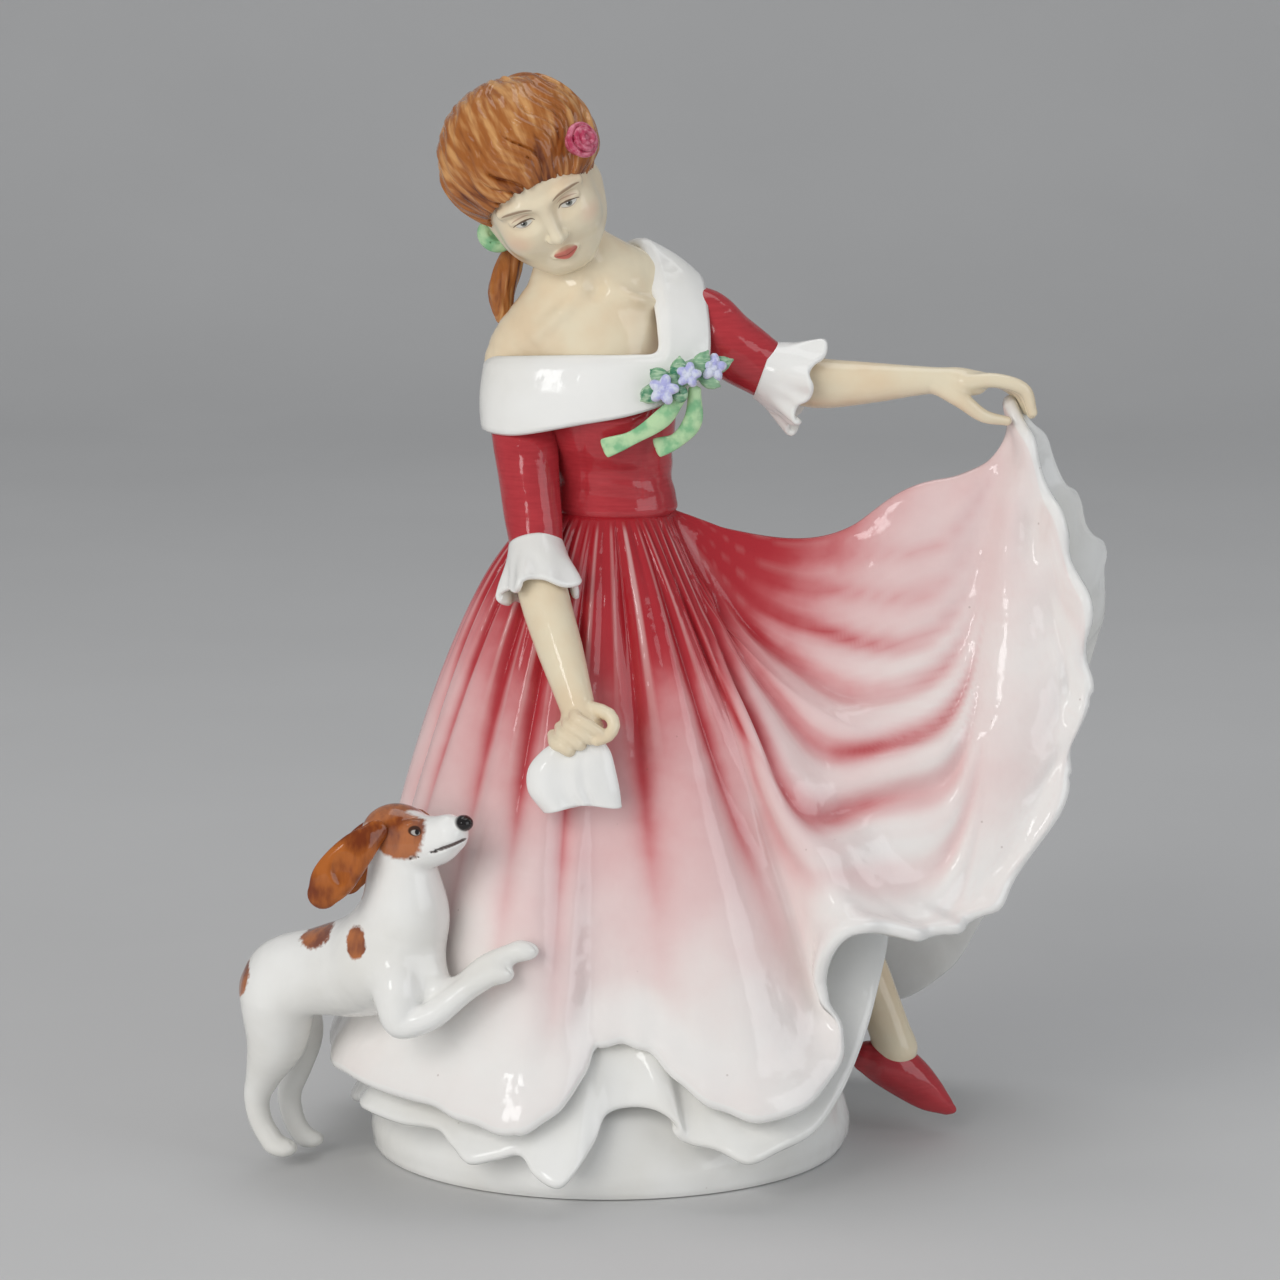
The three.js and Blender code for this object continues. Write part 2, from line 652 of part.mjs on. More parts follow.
// Posy on the collar, with two ribbon tails
const posyLeaves = [
  [8.2, -16.2, 23.6, 3, 1.6],
  [12, -16.4, 26.6, 3.6, 1.9],
  [16.6, -14.4, 28.8, 3.2, 1.9],
  [20, -12, 28.6, 2.2, 1.5],
];
const posyFlowers = {
  posy_flower_left: [10.4, -18.6, 24.6, 2.4],
  posy_flower_middle: [14.8, -18.2, 27.2, 2],
  posy_flower_right: [19, -15.2, 28.4, 2.1],
};
const ribbonTails = {
  ribbon_tail_long: [
    [14.6, -16, 22.4, 1.9, 0.8],
    [10.2, -15.6, 19.2, 1.8, 0.8],
    [4.6, -15.2, 15.4, 1.4, 0.7],
    [-0.4, -14.6, 13.6, 1.5, 0.7],
  ],
  ribbon_tail_short: [
    [16, -14.6, 22.8, 1.7, 0.8],
    [15.6, -13.8, 18, 1.6, 0.8],
    [12.4, -13.2, 14.6, 1.5, 0.7],
    [9.2, -12.8, 13.4, 1.3, 0.7],
  ],
};

// Head, in its own tilted group
function headBlank(grow = 0) {
  const { halfWidth, halfDepth, halfHeight } = head;
  const skull = egg([0, 1.6, 3], [halfWidth, halfDepth, halfHeight], { grow, around: 16, rows: 10 });
  const face = limb(
    [
      [0, -2.6, 8, halfWidth * 0.86, 8],
      [0, -3.8, 0.5, halfWidth * 0.92, 8.6],
      [0, -4.4, -6.5, halfWidth * 0.8, 7.8],
      [0, -5.6, -12, halfWidth * 0.48, 5.2],
    ],
    { sides: 14, steps: 4, grow, round: [false, true] },
  );
  const nose = limb(
    [
      [0, -11.6, 0.6, 0.9],
      [0, -13.6, -3.6, 1.2],
    ],
    { sides: 8, steps: 2, grow, round: [true, true] },
  );
  return join(skull, face, nose);
}

// Hair: a swept-up cap, cut back to the hairline.
function hairBlank(grow = 0) {
  const { halfWidth, halfDepth, halfHeight } = head;
  const halfSizes = [halfWidth + hairDepth, halfDepth + hairDepth * 0.75, halfHeight + hairDepth * 0.2];
  const cap = egg([-0.6, 3.4, 5], halfSizes, { grow, around: 20, rows: 11 });
  const hairlineTilt = THREE.MathUtils.degToRad(41);
  const reach = 60;
  const faceSide = new THREE.BoxGeometry(reach, reach, reach);
  faceSide.translate(0, -reach / 2 - hairlineDepth - grow, 0).rotateX(hairlineTilt);
  return cap.subtract(solidOf(faceSide));
}

function bowBlank(grow = 0) {
  const nearLoop = egg([-20.4, 0.8, 51], [3.6, 2.2, 3.3], { grow, around: 12, rows: 7 });
  const knot = egg([-16.8, 3.4, 50], [2, 2, 2], { grow, around: 10, rows: 6 });
  const farLoop = egg([-13.6, 6.6, 49], [3.2, 2.4, 3], { grow, around: 12, rows: 7 });
  return join(nearLoop, knot, farLoop);
}
const hairLockStations = [
  [-17.6, 6, 46.6, 2.6, 2.2],
  [-19.4, 6.6, 42, 3, 2.4],
  [-20, 6.6, 37.4, 2.4, 2],
  [-19, 6.4, 33.6, 1, 0.9],
];
const hairRose = { middle: [11.2, -8.2, 9.4], radius: 3 };

// Dog, in its own group at the middle of its trunk

const dogTrunk = [
  [-12.8, 7.6, -4.4, 6.6, 6.4],
  [-9.6, 6.2, -2.6, 8.4, 7.8],
  [-2, 2.2, -0.2, 8.8, 8],
  [8, -4, 4.2, 10.2, 8.6],
  [12.4, -7, 12.4, 8.8, 7.8],
  [12.4, -7.4, 19, 7.2, 6.8],
  [11.8, -7, 23.6, 6.2, 5.8],
];
const dogTrunkBlank = (grow = 0) => limb(dogTrunk, { sides: 14, steps: 10, grow, round: [true, false] });

function dogHeadBlank(grow = 0) {
  const skull = egg([11.6, -6.6, 28], [6.4, 5.6, 5.2], { grow });
  const muzzle = limb(
    [
      [13, -8, 27.2, 5.1, 4.9],
      [18.2, -11.4, 27.8, 4.6, 4.2],
      [22.4, -13.9, 29.2, 3.6, 3.4],
    ],
    { grow, steps: 5, round: [true, true] },
  );
  return join(skull, muzzle);
}

const dogEars = {
  dog_right_ear: [
    [7.8, -12.6, 29.6, 2.3, 1.1],
    [3.8, -14.4, 26, 3.6, 1.2],
    [0.2, -15, 21.8, 4.2, 1.2],
    [-1.8, -15, 18.6, 3, 1],
  ],
  dog_left_ear: [
    [9, -1, 29, 2.3, 1.1],
    [6.2, 1, 25, 3.4, 1.2],
    [3.6, 2, 20.8, 3.8, 1.2],
    [2.4, 2.2, 17.8, 2.8, 1],
  ],
};
const dogLegs = {
  dog_right_foreleg: [
    [11.4, -14.8, 1.8, 4.6, 3.6],
    [12, -17, -4.8, 3.1, 2.6],
    [17.8, -17.9, -3.2, 2.6, 2.3],
    [24.4, -17.5, 1.8, 2.1, 2.1],
    [30.4, -16.4, 4.4, 1.9, 2],
  ],
  dog_left_foreleg: [
    [17.4, -12, 2, 3.6, 3],
    [21.4, -13.9, 0, 2.8, 2.4],
    [27.8, -14.5, 5.4, 2.1, 2.1],
    [34.6, -14.2, 8.2, 1.9, 2],
  ],
  dog_right_hind_leg: [
    [-11.6, 3, -8, 6.4, 4.6],
    [-12.4, 5, -15, 5.3, 4.1],
    [-15.2, 7.6, -22.4, 3.1, 2.9],
    [-15.6, 9.4, -30, 2.3, 2.3],
    [-13.4, 9, -35, 2.2, 2.2],
    [-9.6, 8.4, -36.6, 1.9, 2],
  ],
  dog_left_hind_leg: [
    [-11.4, 13.4, -9, 5.8, 4],
    [-8.6, 15.6, -16, 4.5, 3.5],
    [-9.6, 17, -24, 2.5, 2.4],
    [-10.2, 17.6, -31, 2.1, 2.1],
    [-8.4, 17.2, -36, 2, 2],
    [-6, 16.8, -37, 1.8, 1.9],
  ],
};

// Assembly

function group(place, ...children) {
  const made = new THREE.Group();
  made.position.set(...place);
  if (children.length) made.add(...children);
  made.updateMatrix();
  return made;
}

const skirtCutter = skirtSolid(slipGap);
const seenFrom = (place) => moved(skirtCutter, place.matrix.clone().invert());

// Lower figure
const legSeat = legBlank(slipGap);
const frillRoom = petticoatRoom(slipGap);
const leg = carve(join(legBlank(), ankleBlank()), skirtCutter, frillRoom);
const shoe = carve(shoeBlank(), legSeat, ankleBlank(slipGap), frillRoom);
const skirtShell = skirtSolid();
const petticoatBlank = join(petticoatShell(), petticoatSeat());
const petticoat = carve(petticoatBlank, plinthSolid(slipGap), skirtCutter, skirtShell);

// Upper figure
const upper = group([0, 0, waist.height]);
const headGroup = group(headPlace);
headGroup.rotation.set(
  THREE.MathUtils.degToRad(headTilt.nod),
  THREE.MathUtils.degToRad(headTilt.lean),
  0,
  "YXZ",
);
headGroup.updateMatrix();
const toHead = headGroup.matrix.clone().invert();
const upperSkirtCutter = seenFrom(upper);

const shoulders = carve(shouldersBlank(), bodiceBlank(slipGap), neckBlank(slipGap));
const sleeveSeats = [bodiceBlank(slipGap), shouldersBlank(slipGap), upperSkirtCutter];
const rightSleeveSolid = carve(sleeveBlank(rightSleeve), ...sleeveSeats);
const leftSleeveSolid = carve(sleeveBlank(leftSleeve), ...sleeveSeats);
const collarSeats = [
  ...sleeveSeats,
  sleeveBlank(rightSleeve, slipGap),
  sleeveBlank(leftSleeve, slipGap),
  neckBlank(slipGap),
];
const collar = carve(collarBlank(), ...collarSeats);
const collarSeat = collarBlank(slipGap);

const headSolid = join(headBlank(), moved(neckBlank(), toHead));
const headSeat = join(headBlank(slipGap), moved(neckBlank(slipGap), toHead));
const hair = carve(hairBlank(), headSeat);
const headInUpper = moved(join(headSeat, hairBlank(slipGap)), headGroup.matrix);
const roseBlank = egg(hairRose.middle, [hairRose.radius, hairRose.radius, hairRose.radius], { rows: 8 });
const shouldersSeat = shouldersBlank(slipGap);
const bow = carve(bowBlank(), headInUpper, shouldersSeat);
const hairLock = carve(
  limb(hairLockStations, { steps: 6, round: [true, true] }),
  headInUpper,
  shouldersSeat,
  bowBlank(slipGap),
);

const rightCuffSolid = carve(
  cuffSolid(rightCuff.from, rightCuff.to),
  sleeveBlank(rightSleeve, slipGap),
  rightForearm(slipGap),
  upperSkirtCutter,
);
const leftCuffSolid = carve(
  cuffSolid(leftCuff.from, leftCuff.to),
  sleeveBlank(leftSleeve, slipGap),
  leftForearm(slipGap),
);
const rightArm = carve(rightForearm(), upperSkirtCutter);
const leftArm = carve(leftForearm(), upperSkirtCutter);
const handkerchief = carve(handkerchiefSolid(), rightForearm(slipGap), upperSkirtCutter);
const leaves = carve(limb(posyLeaves, { steps: 6, round: [true, true] }), collarSeat, ...collarSeats);
const leavesSeat = limb(posyLeaves, { steps: 6, grow: slipGap, round: [true, true] });
const posySeats = [collarSeat, leavesSeat, ...collarSeats];

headGroup.add(
  piece("head", headSolid, glazes.skin),
  piece("hair", hair, glazes.auburn),
  piece("hair_rose", carve(roseBlank, hairBlank(slipGap), headSeat), glazes.pink),
);
upper.add(
  headGroup,
  piece("bodice", bodiceBlank(), glazes.crimson),
  piece("shoulders", shoulders, glazes.skin),
  piece("collar", collar, glazes.white),
  piece("right_sleeve", rightSleeveSolid, glazes.crimson),
  piece("right_cuff", rightCuffSolid, glazes.white),
  piece("right_forearm", rightArm, glazes.skin),
  piece("handkerchief", handkerchief, glazes.white),
  piece("left_sleeve", leftSleeveSolid, glazes.crimson),
  piece("left_cuff", leftCuffSolid, glazes.white),
  piece("left_forearm", leftArm, glazes.skin),
  piece("hair_bow", bow, glazes.leaf),
  piece("hair_lock", hairLock, glazes.auburn),
  piece("posy_leaves", leaves, glazes.leaf),
);
for (const [name, [x, y, z, radius]] of Object.entries(posyFlowers)) {
  const flower = egg([x, y, z], [radius, radius, radius], { around: 10, rows: 7 });
  upper.add(piece(name, carve(flower, ...posySeats), glazes.lilac));
}
for (const [name, stations] of Object.entries(ribbonTails)) {
  const tail = limb(stations, { sides: 8, steps: 6, round: [true, true] });
  upper.add(piece(name, carve(tail, ...posySeats), glazes.leaf));
  posySeats.push(limb(stations, { sides: 8, steps: 6, grow: slipGap, round: [true, true] }));
}

// Dog
const dog = group([dogPlace.x, dogPlace.y, dogPlace.z]);
const dogSkirtCutter = seenFrom(dog);
const trunk = carve(dogTrunkBlank(), dogSkirtCutter);
const dogHead = carve(dogHeadBlank(), dogTrunkBlank(slipGap), dogSkirtCutter);
dog.add(piece("dog_body", trunk, glazes.white), piece("dog_head", dogHead, glazes.white));
for (const [name, stations] of Object.entries(dogEars)) {
  const ear = limb(stations, { sides: 10, steps: 6, round: [true, true] });
  const cut = carve(ear, dogHeadBlank(slipGap), dogTrunkBlank(slipGap), dogSkirtCutter);
  dog.add(piece(name, cut, glazes.chestnut));
}
const dogSeats = [dogTrunkBlank(slipGap), dogSkirtCutter];
for (const [name, stations] of Object.entries(dogLegs)) {
  const blank = (grow) => limb(stations, { sides: 10, steps: 7, grow, round: [true, true] });
  dog.add(piece(name, carve(blank(0), ...dogSeats), glazes.white));
  dogSeats.push(blank(slipGap));
}

const figurine = group(
  [0, 0, 0],
  piece("base_plinth", plinthPiece(), glazes.white),
  piece("petticoat", petticoat, glazes.white),
  piece("skirt", skirtShell, glazes.rose),
  piece("leg", leg, glazes.skin),
  piece("shoe", shoe, glazes.crimson),
  upper,
  dog,
);

export default figurine;
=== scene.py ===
import math

import bpy
import numpy as np
import openvdb
from mathutils import Euler, Matrix, Vector


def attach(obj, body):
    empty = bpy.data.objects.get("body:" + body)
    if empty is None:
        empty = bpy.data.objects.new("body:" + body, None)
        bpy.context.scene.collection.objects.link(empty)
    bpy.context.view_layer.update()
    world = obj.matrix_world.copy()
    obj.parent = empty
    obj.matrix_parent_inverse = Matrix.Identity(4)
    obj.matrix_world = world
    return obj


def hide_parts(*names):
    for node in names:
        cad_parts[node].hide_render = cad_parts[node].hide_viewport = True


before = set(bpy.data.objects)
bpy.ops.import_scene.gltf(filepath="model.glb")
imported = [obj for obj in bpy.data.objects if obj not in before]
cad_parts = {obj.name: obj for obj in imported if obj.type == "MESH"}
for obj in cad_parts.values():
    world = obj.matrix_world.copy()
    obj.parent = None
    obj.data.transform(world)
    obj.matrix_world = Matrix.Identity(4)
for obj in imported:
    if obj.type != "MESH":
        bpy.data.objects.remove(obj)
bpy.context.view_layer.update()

mm = 0.001
waistHeight = 122.5
upperPlace = Matrix.Translation((0, 0, waistHeight * mm))  # frame of everything above the waist


# shape helpers, all in millimetres
def smoothStep(low, high, x):
    t = np.clip((np.asarray(x, float) - low) / (high - low), 0, 1)
    return t * t * (3 - 2 * t)


def bump(x, middle, reach):  # smooth rise to 1 at the middle
    return np.exp(-(((x - middle) / reach) ** 2))


def curve(points, t, closed=False):  # smooth line through points, t from 0 to 1
    p = np.asarray(points, float)
    spans = len(p) if closed else len(p) - 1
    place = np.asarray(t, float) * spans
    first = np.clip(np.floor(place).astype(int), 0, spans - 1)
    f = (place - first)[..., None]
    if not closed:
        p = np.vstack([2 * p[0] - p[1], p, 2 * p[-1] - p[-2]])
        first = first + 1
    a, b, c, d = (p[(first + k) % len(p)] for k in (-1, 0, 1, 2))
    pairs = ((b, a), (c, b), (d, c))
    ab, bc, cd = (np.sqrt(np.linalg.norm(q - r, axis=-1, keepdims=True) + 1e-9) for q, r in pairs)
    leave = bc * ((b - a) / ab - (c - a) / (ab + bc) + (c - b) / bc)
    reach = bc * ((c - b) / bc - (d - b) / (bc + cd) + (d - c) / cd)
    bend = 2 * (b - c) + leave + reach
    return b + f * (leave + f * (3 * (c - b) - 2 * leave - reach + f * bend))


def smoothBetween(a, b, c, d, f):  # smooth number on the way from b to c
    return b + 0.5 * f * (c - a + f * (2 * a - 5 * b + 4 * c - d + f * (3 * (b - c) + d - a)))


def through(values, t):  # smooth number through evenly spaced numbers
    v = np.asarray(values, float)
    place = np.asarray(t, float) * (len(v) - 1)
    first = np.clip(np.floor(place).astype(int), 0, len(v) - 2)
    f = place - first
    a, b, c, d = (v[np.clip(first + k, 0, len(v) - 1)] for k in (-1, 0, 1, 2))
    return smoothBetween(a, b, c, d, f)


def cyclic(values, t, turn=0.0):  # the same on a closed round; turn is what one round adds
    v = np.asarray(values, float)
    place = np.asarray(t, float) * len(v)
    first = np.floor(place).astype(int)
    f = place - first
    a, b, c, d = (v[(first + k) % len(v)] + (first + k) // len(v) * turn for k in (-1, 0, 1, 2))
    return smoothBetween(a, b, c, d, f)


def unit(v):
    return v / (np.linalg.norm(v, axis=-1, keepdims=True) + 1e-12)


def roundTurn(columns):  # even angles once round
    return 2 * math.pi * np.arange(columns) / columns


def facingAxes(facing):  # two directions square to the way that a flower faces
    side = unit(np.cross(facing, (0, 0, 1.0)))
    return side, np.cross(side, facing)


def gridFaces(rows, columns, wrap=True):
    r = np.arange(rows - 1)[:, None] * columns
    c = np.arange(columns if wrap else columns - 1)[None, :]
    d = (c + 1) % columns
    return np.stack([r + c, r + d, r + columns + d, r + columns + c], -1).reshape(-1, 4).tolist()


def closedSkin(rings):  # rows of rings with a pole at each end
    rows, columns = rings.shape[:2]
    verts = np.vstack([rings.reshape(-1, 3), rings[0].mean(0), rings[-1].mean(0)])
    faces = gridFaces(rows, columns)
    top, foot, last = rows * columns, rows * columns + 1, (rows - 1) * columns
    for k in range(columns):
        n = (k + 1) % columns
        faces.append([top, n, k])
        faces.append([foot, last + k, last + n])
    return verts, faces


def gridNormals(points):  # of a grid of rows of rings
    down = np.gradient(points, axis=0)
    around = np.roll(points, -1, axis=1) - np.roll(points, 1, axis=1)
    return unit(np.cross(down, around))


def outwardNormals(rings):
    normal = gridNormals(rings)
    row = len(rings) // 2
    return normal * np.sign((normal[row] * (rings[row] - rings[row].mean(0))).sum())


def rolledEdge(edge, out, down, half, degrees):  # rounds a wall's edge from its outer to its inner face
    turns = np.radians(degrees)
    return [edge - out * half * (1 - math.cos(a)) + down * half * math.sin(a) for a in turns]


def makePiece(name, verts, faces, materials, nodes, slotName, values=None, faceMaterial=None, place=None):
    verts = np.asarray(verts, float)
    corners = np.array([[f[0], f[k], f[k + 1]] for f in faces for k in range(1, len(f) - 1)])
    a, b, c = (verts[corners[:, k]] for k in range(3))
    if np.einsum("ij,ij->i", a, np.cross(b, c)).sum() < 0:
        faces = [f[::-1] for f in faces]
    mesh = bpy.data.meshes.new(name)
    mesh.from_pydata((verts * mm).tolist(), [], faces)
    for key, data in (values or {}).items():
        layer = mesh.attributes.new(key, "FLOAT", "POINT")
        layer.data.foreach_set("value", np.asarray(data, np.float32).ravel())
    for material in materials:
        mesh.materials.append(material)
    if faceMaterial is not None:
        mesh.polygons.foreach_set("material_index", np.asarray(faceMaterial, np.int32))
    mesh.polygons.foreach_set("use_smooth", np.ones(len(mesh.polygons), bool))
    mesh.update()
    piece = bpy.data.objects.new(name, mesh)
    bpy.context.scene.collection.objects.link(piece)
    if place is not None:
        piece.matrix_world = place
    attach(piece, "root")
    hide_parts(*nodes)
    print("piece", name, len(verts), "points")


def limbRings(stations, rows, columns, roundEnds=(True, True)):  # oval section along a smooth line
    s = np.array(stations, float)
    t = np.linspace(0, 1, rows)
    line = curve(s[:, :3], t)
    tangent = unit(np.gradient(line, axis=0))
    depthWay = unit(np.array([0, 1.0, 0]) - tangent * tangent[:, 1:2])
    widthWay = np.cross(depthWay, tangent)
    width, depth = through(s[:, 3], t), through(s[:, 4], t)
    a = roundTurn(columns)
    across = widthWay[:, None] * (width[:, None] * np.cos(a))[..., None]
    rings = line[:, None] + across + depthWay[:, None] * (depth[:, None] * np.sin(a))[..., None]
    rises = np.sin(np.radians([22, 44, 64, 80]))
    for end, way in ((0, -1), (-1, 1)):
        if roundEnds[end]:
            bulge = 0.85 * way * min(width[end], depth[end]) * tangent[end]
            spokes = rings[end] - line[end]
            caps = [line[end] + bulge * r + spokes * math.sqrt(1 - r * r) for r in rises]
            rings = np.concatenate([rings, caps] if way > 0 else [caps[::-1], rings])
    return rings


class Clay:  # a lump on a fine grid, built up and cut back with soft strokes
    far = 4.0  # distance to the surface in empty space

    def __init__(self, low, high, grain, reach=3.0):
        self.low, self.grain, self.reach = np.array(low, float), grain, reach
        self.counts = np.ceil((np.array(high) - self.low) / grain).astype(int) + 1
        self.field = np.full(self.counts, self.far, np.float32)

    def window(self, low, high):
        first = np.clip(np.floor((low - self.low) / self.grain), 0, self.counts - 1).astype(int)
        last = np.clip(np.ceil((high - self.low) / self.grain) + 1, first + 1, self.counts)
        return first, last.astype(int)

    def work(self, parts, soft, cut):  # each part is its box and how to measure the distance to it
        reach = max(self.reach, soft)
        spans = [self.window(np.array(low) - reach, np.array(high) + reach) for low, high, _ in parts]
        first = np.min([span[0] for span in spans], axis=0)
        last = np.max([span[1] for span in spans], axis=0)
        found = np.full(last - first, reach, np.float32)
        for (start, end), (_, _, measure) in zip(spans, parts):
            axes = [self.low[i] + self.grain * np.arange(start[i], end[i]) for i in range(3)]
            near = measure(np.stack(np.meshgrid(*axes, indexing="ij"), -1).astype(np.float32))
            inner = tuple(slice(p, q) for p, q in zip(start - first, end - first))
            found[inner] = np.minimum(found[inner], near)
        block = tuple(slice(p, q) for p, q in zip(first, last))
        old = -self.field[block] if cut else self.field[block]
        new = np.minimum(old, found) - np.clip(soft - np.abs(old - found), 0, None) ** 2 / (4 * soft)
        self.field[block] = -new if cut else new

    def ball(self, middle, radii, soft=0.5, cut=False, turn=(0, 0, 0)):
        middle, radii = np.array(middle, np.float32), np.array(radii, np.float32)
        spin = np.array(Euler([math.radians(a) for a in turn]).to_matrix(), np.float32)
        span = np.sqrt((spin**2) @ (radii**2))

        def measure(p):
            q = (p - middle) @ spin
            near = np.linalg.norm(q / radii, axis=-1)
            return near * (near - 1) / (np.linalg.norm(q / radii**2, axis=-1) + 1e-6)

        self.work([(middle - span, middle + span, measure)], soft, cut)

    def stroke(self, points, radii, soft=0.5, cut=False, steps=8, squash=(1, 1, 1)):
        squash = np.array(squash, np.float32)
        radii = np.atleast_1d(np.asarray(radii, float))
        t = np.linspace(0, 1, steps + 1)
        line = curve(points, t).astype(np.float32)
        thick = through(np.r_[radii, radii[-1:]] if len(radii) == 1 else radii, t).astype(np.float32)
        pad = thick.max() / squash

        def piece(a, b, ra, rb):
            along = (b - a) * squash

            def measure(p):
                q = (p - a) * squash
                h = np.clip(q @ along / (along @ along + 1e-9), 0, 1)
                return np.linalg.norm(q - h[..., None] * along, axis=-1) - (ra + h * (rb - ra))

            return np.minimum(a, b) - pad, np.maximum(a, b) + pad, measure

        self.work([piece(*ends) for ends in zip(line, line[1:], thick, thick[1:])], soft, cut)

    def limb(self, stations, soft, **more):  # a stroke whose points carry their radius
        s = np.array(stations, float)
        self.stroke(s[:, :3], s[:, 3], soft, **more)

    def soften(self, rounds):  # smooths away the marks of the strokes
        for axis in [0, 1, 2] * rounds:
            low, high = np.take(self.field, [0], axis), np.take(self.field, [-1], axis)
            field = np.concatenate([low, self.field, high], axis)
            length = self.field.shape[axis]
            before, here, after = (np.take(field, range(k, k + length), axis) for k in range(3))
            self.field = (before + 2 * here + after) / 4

    def mesh(self):
        grid = openvdb.FloatGrid(self.far)
        grid.copyFromArray(self.field)
        points, quads = grid.convertToQuads(0.0)
        return self.low + points * self.grain, quads.tolist()

    def fire(self, name, material, nodes, slotName, layers=None, place=None):  # the finished piece
        verts, faces = self.mesh()
        values = layers(verts) if layers else None  # numbers for the paint at each point
        makePiece(name, verts, faces, [material], nodes, slotName, values, place=place)


# paint helpers
def addNode(tree, kind, **settings):
    node = tree.nodes.new(kind)
    for key, value in settings.items():
        setattr(node, key, value)
    return node


def feed(tree, socket, value):
    if isinstance(value, bpy.types.NodeSocket):
        tree.links.new(value, socket)
    elif value is not None:
        socket.default_value = value


def calc(tree, operation, *terms):
    node = addNode(tree, "ShaderNodeMath", operation=operation)
    for socket, term in zip(node.inputs, terms):
        feed(tree, socket, term)
    return node.outputs[0]


def mixPaint(tree, share, under, over):
    node = addNode(tree, "ShaderNodeMix", data_type="RGBA")
    for index, term in ((0, share), (6, under), (7, over)):
        feed(tree, node.inputs[index], term)
    return node.outputs[2]


def fade(tree, value, low, high, fromValue=0.0, toValue=1.0):
    node = addNode(tree, "ShaderNodeMapRange", interpolation_type="SMOOTHSTEP")
    for socket, term in zip(node.inputs, (value, low, high, fromValue, toValue)):
        feed(tree, socket, term)
    return node.outputs[0]


def noise(tree, point, scale, detail=3.0, stretch=None):
    if stretch:
        node = addNode(tree, "ShaderNodeMapping")
        feed(tree, node.inputs["Vector"], point)
        node.inputs["Scale"].default_value = stretch
        point = node.outputs[0]
    node = addNode(tree, "ShaderNodeTexNoise")
    feed(tree, node.inputs["Vector"], point)
    node.inputs["Scale"].default_value = scale
    node.inputs["Detail"].default_value = detail
    return node.outputs["Fac"]


def attribute(tree, name):
    return addNode(tree, "ShaderNodeAttribute", attribute_name=name).outputs["Fac"]


def dab(tree, mask, strength, under, over):  # paint laid on through a mask
    return mixPaint(tree, calc(tree, "MULTIPLY", mask, strength), under, over)


def twoTone(first, second, scale, low, high):  # a paint of two colours clouded into each other
    def paint(tree, point):
        cloud = fade(tree, noise(tree, point, scale), low, high)
        return mixPaint(tree, cloud, first, second)

    return paint


def newGroup(name, inputs, outputs):
    tree = bpy.data.node_groups.new(name, "ShaderNodeTree")
    for way, sockets in (("INPUT", inputs), ("OUTPUT", outputs)):
        for socketName, kind in sockets.items():
            tree.interface.new_socket(socketName, in_out=way, socket_type="NodeSocket" + kind)
    return tree, addNode(tree, "NodeGroupInput").outputs, addNode(tree, "NodeGroupOutput").inputs


def use(tree, group, **terms):
    node = addNode(tree, "ShaderNodeGroup", node_tree=group)
    for key, term in terms.items():
        feed(tree, node.inputs[key], term)
    return node.outputs


def buildRipple():  # the slow waves and fine peel of a fired glaze
    tree, given, out = newGroup("glazeRipple", {"Point": "Vector"}, {"Height": "Float", "Gloss": "Float"})
    slow = noise(tree, given["Point"], 0.16, 2.0)
    peel = noise(tree, given["Point"], 1.1, 2.0)
    feed(tree, out["Height"], calc(tree, "MULTIPLY_ADD", peel, 0.05, slow))
    feed(tree, out["Gloss"], fade(tree, slow, 0.3, 0.7))
    return tree


def buildSpecks():  # pin-head specks left by the kiln
    tree, given, out = newGroup("kilnSpecks", {"Point": "Vector", "Amount": "Float"}, {"Mask": "Float"})
    cells = addNode(tree, "ShaderNodeTexVoronoi")
    feed(tree, cells.inputs["Vector"], given["Point"])
    cells.inputs["Scale"].default_value = 0.55
    dot = fade(tree, cells.outputs["Distance"], 0.07, 0.16, 1.0, 0.0)
    pick = addNode(tree, "ShaderNodeSeparateColor")
    feed(tree, pick.inputs[0], cells.outputs["Color"])
    chosen = calc(tree, "LESS_THAN", pick.outputs[0], given["Amount"])
    feed(tree, out["Mask"], calc(tree, "MULTIPLY", dot, chosen))
    return tree


def buildBrush():  # cloudy, streaky brush work over a flat colour
    inputs = {"Point": "Vector", "Color": "Color", "Dark": "Color", "Depth": "Float"}
    tree, given, out = newGroup("brushWork", inputs, {"Color": "Color"})
    cloud = noise(tree, given["Point"], 0.12, 4.0)
    streak = noise(tree, given["Point"], 1.0, 3.0, (0.25, 0.25, 2.2))
    both = calc(tree, "MULTIPLY_ADD", streak, 0.6, calc(tree, "MULTIPLY", cloud, 0.7))
    share = calc(tree, "MULTIPLY", fade(tree, both, 0.45, 0.9), given["Depth"])
    feed(tree, out["Color"], mixPaint(tree, share, given["Color"], given["Dark"]))
    return tree


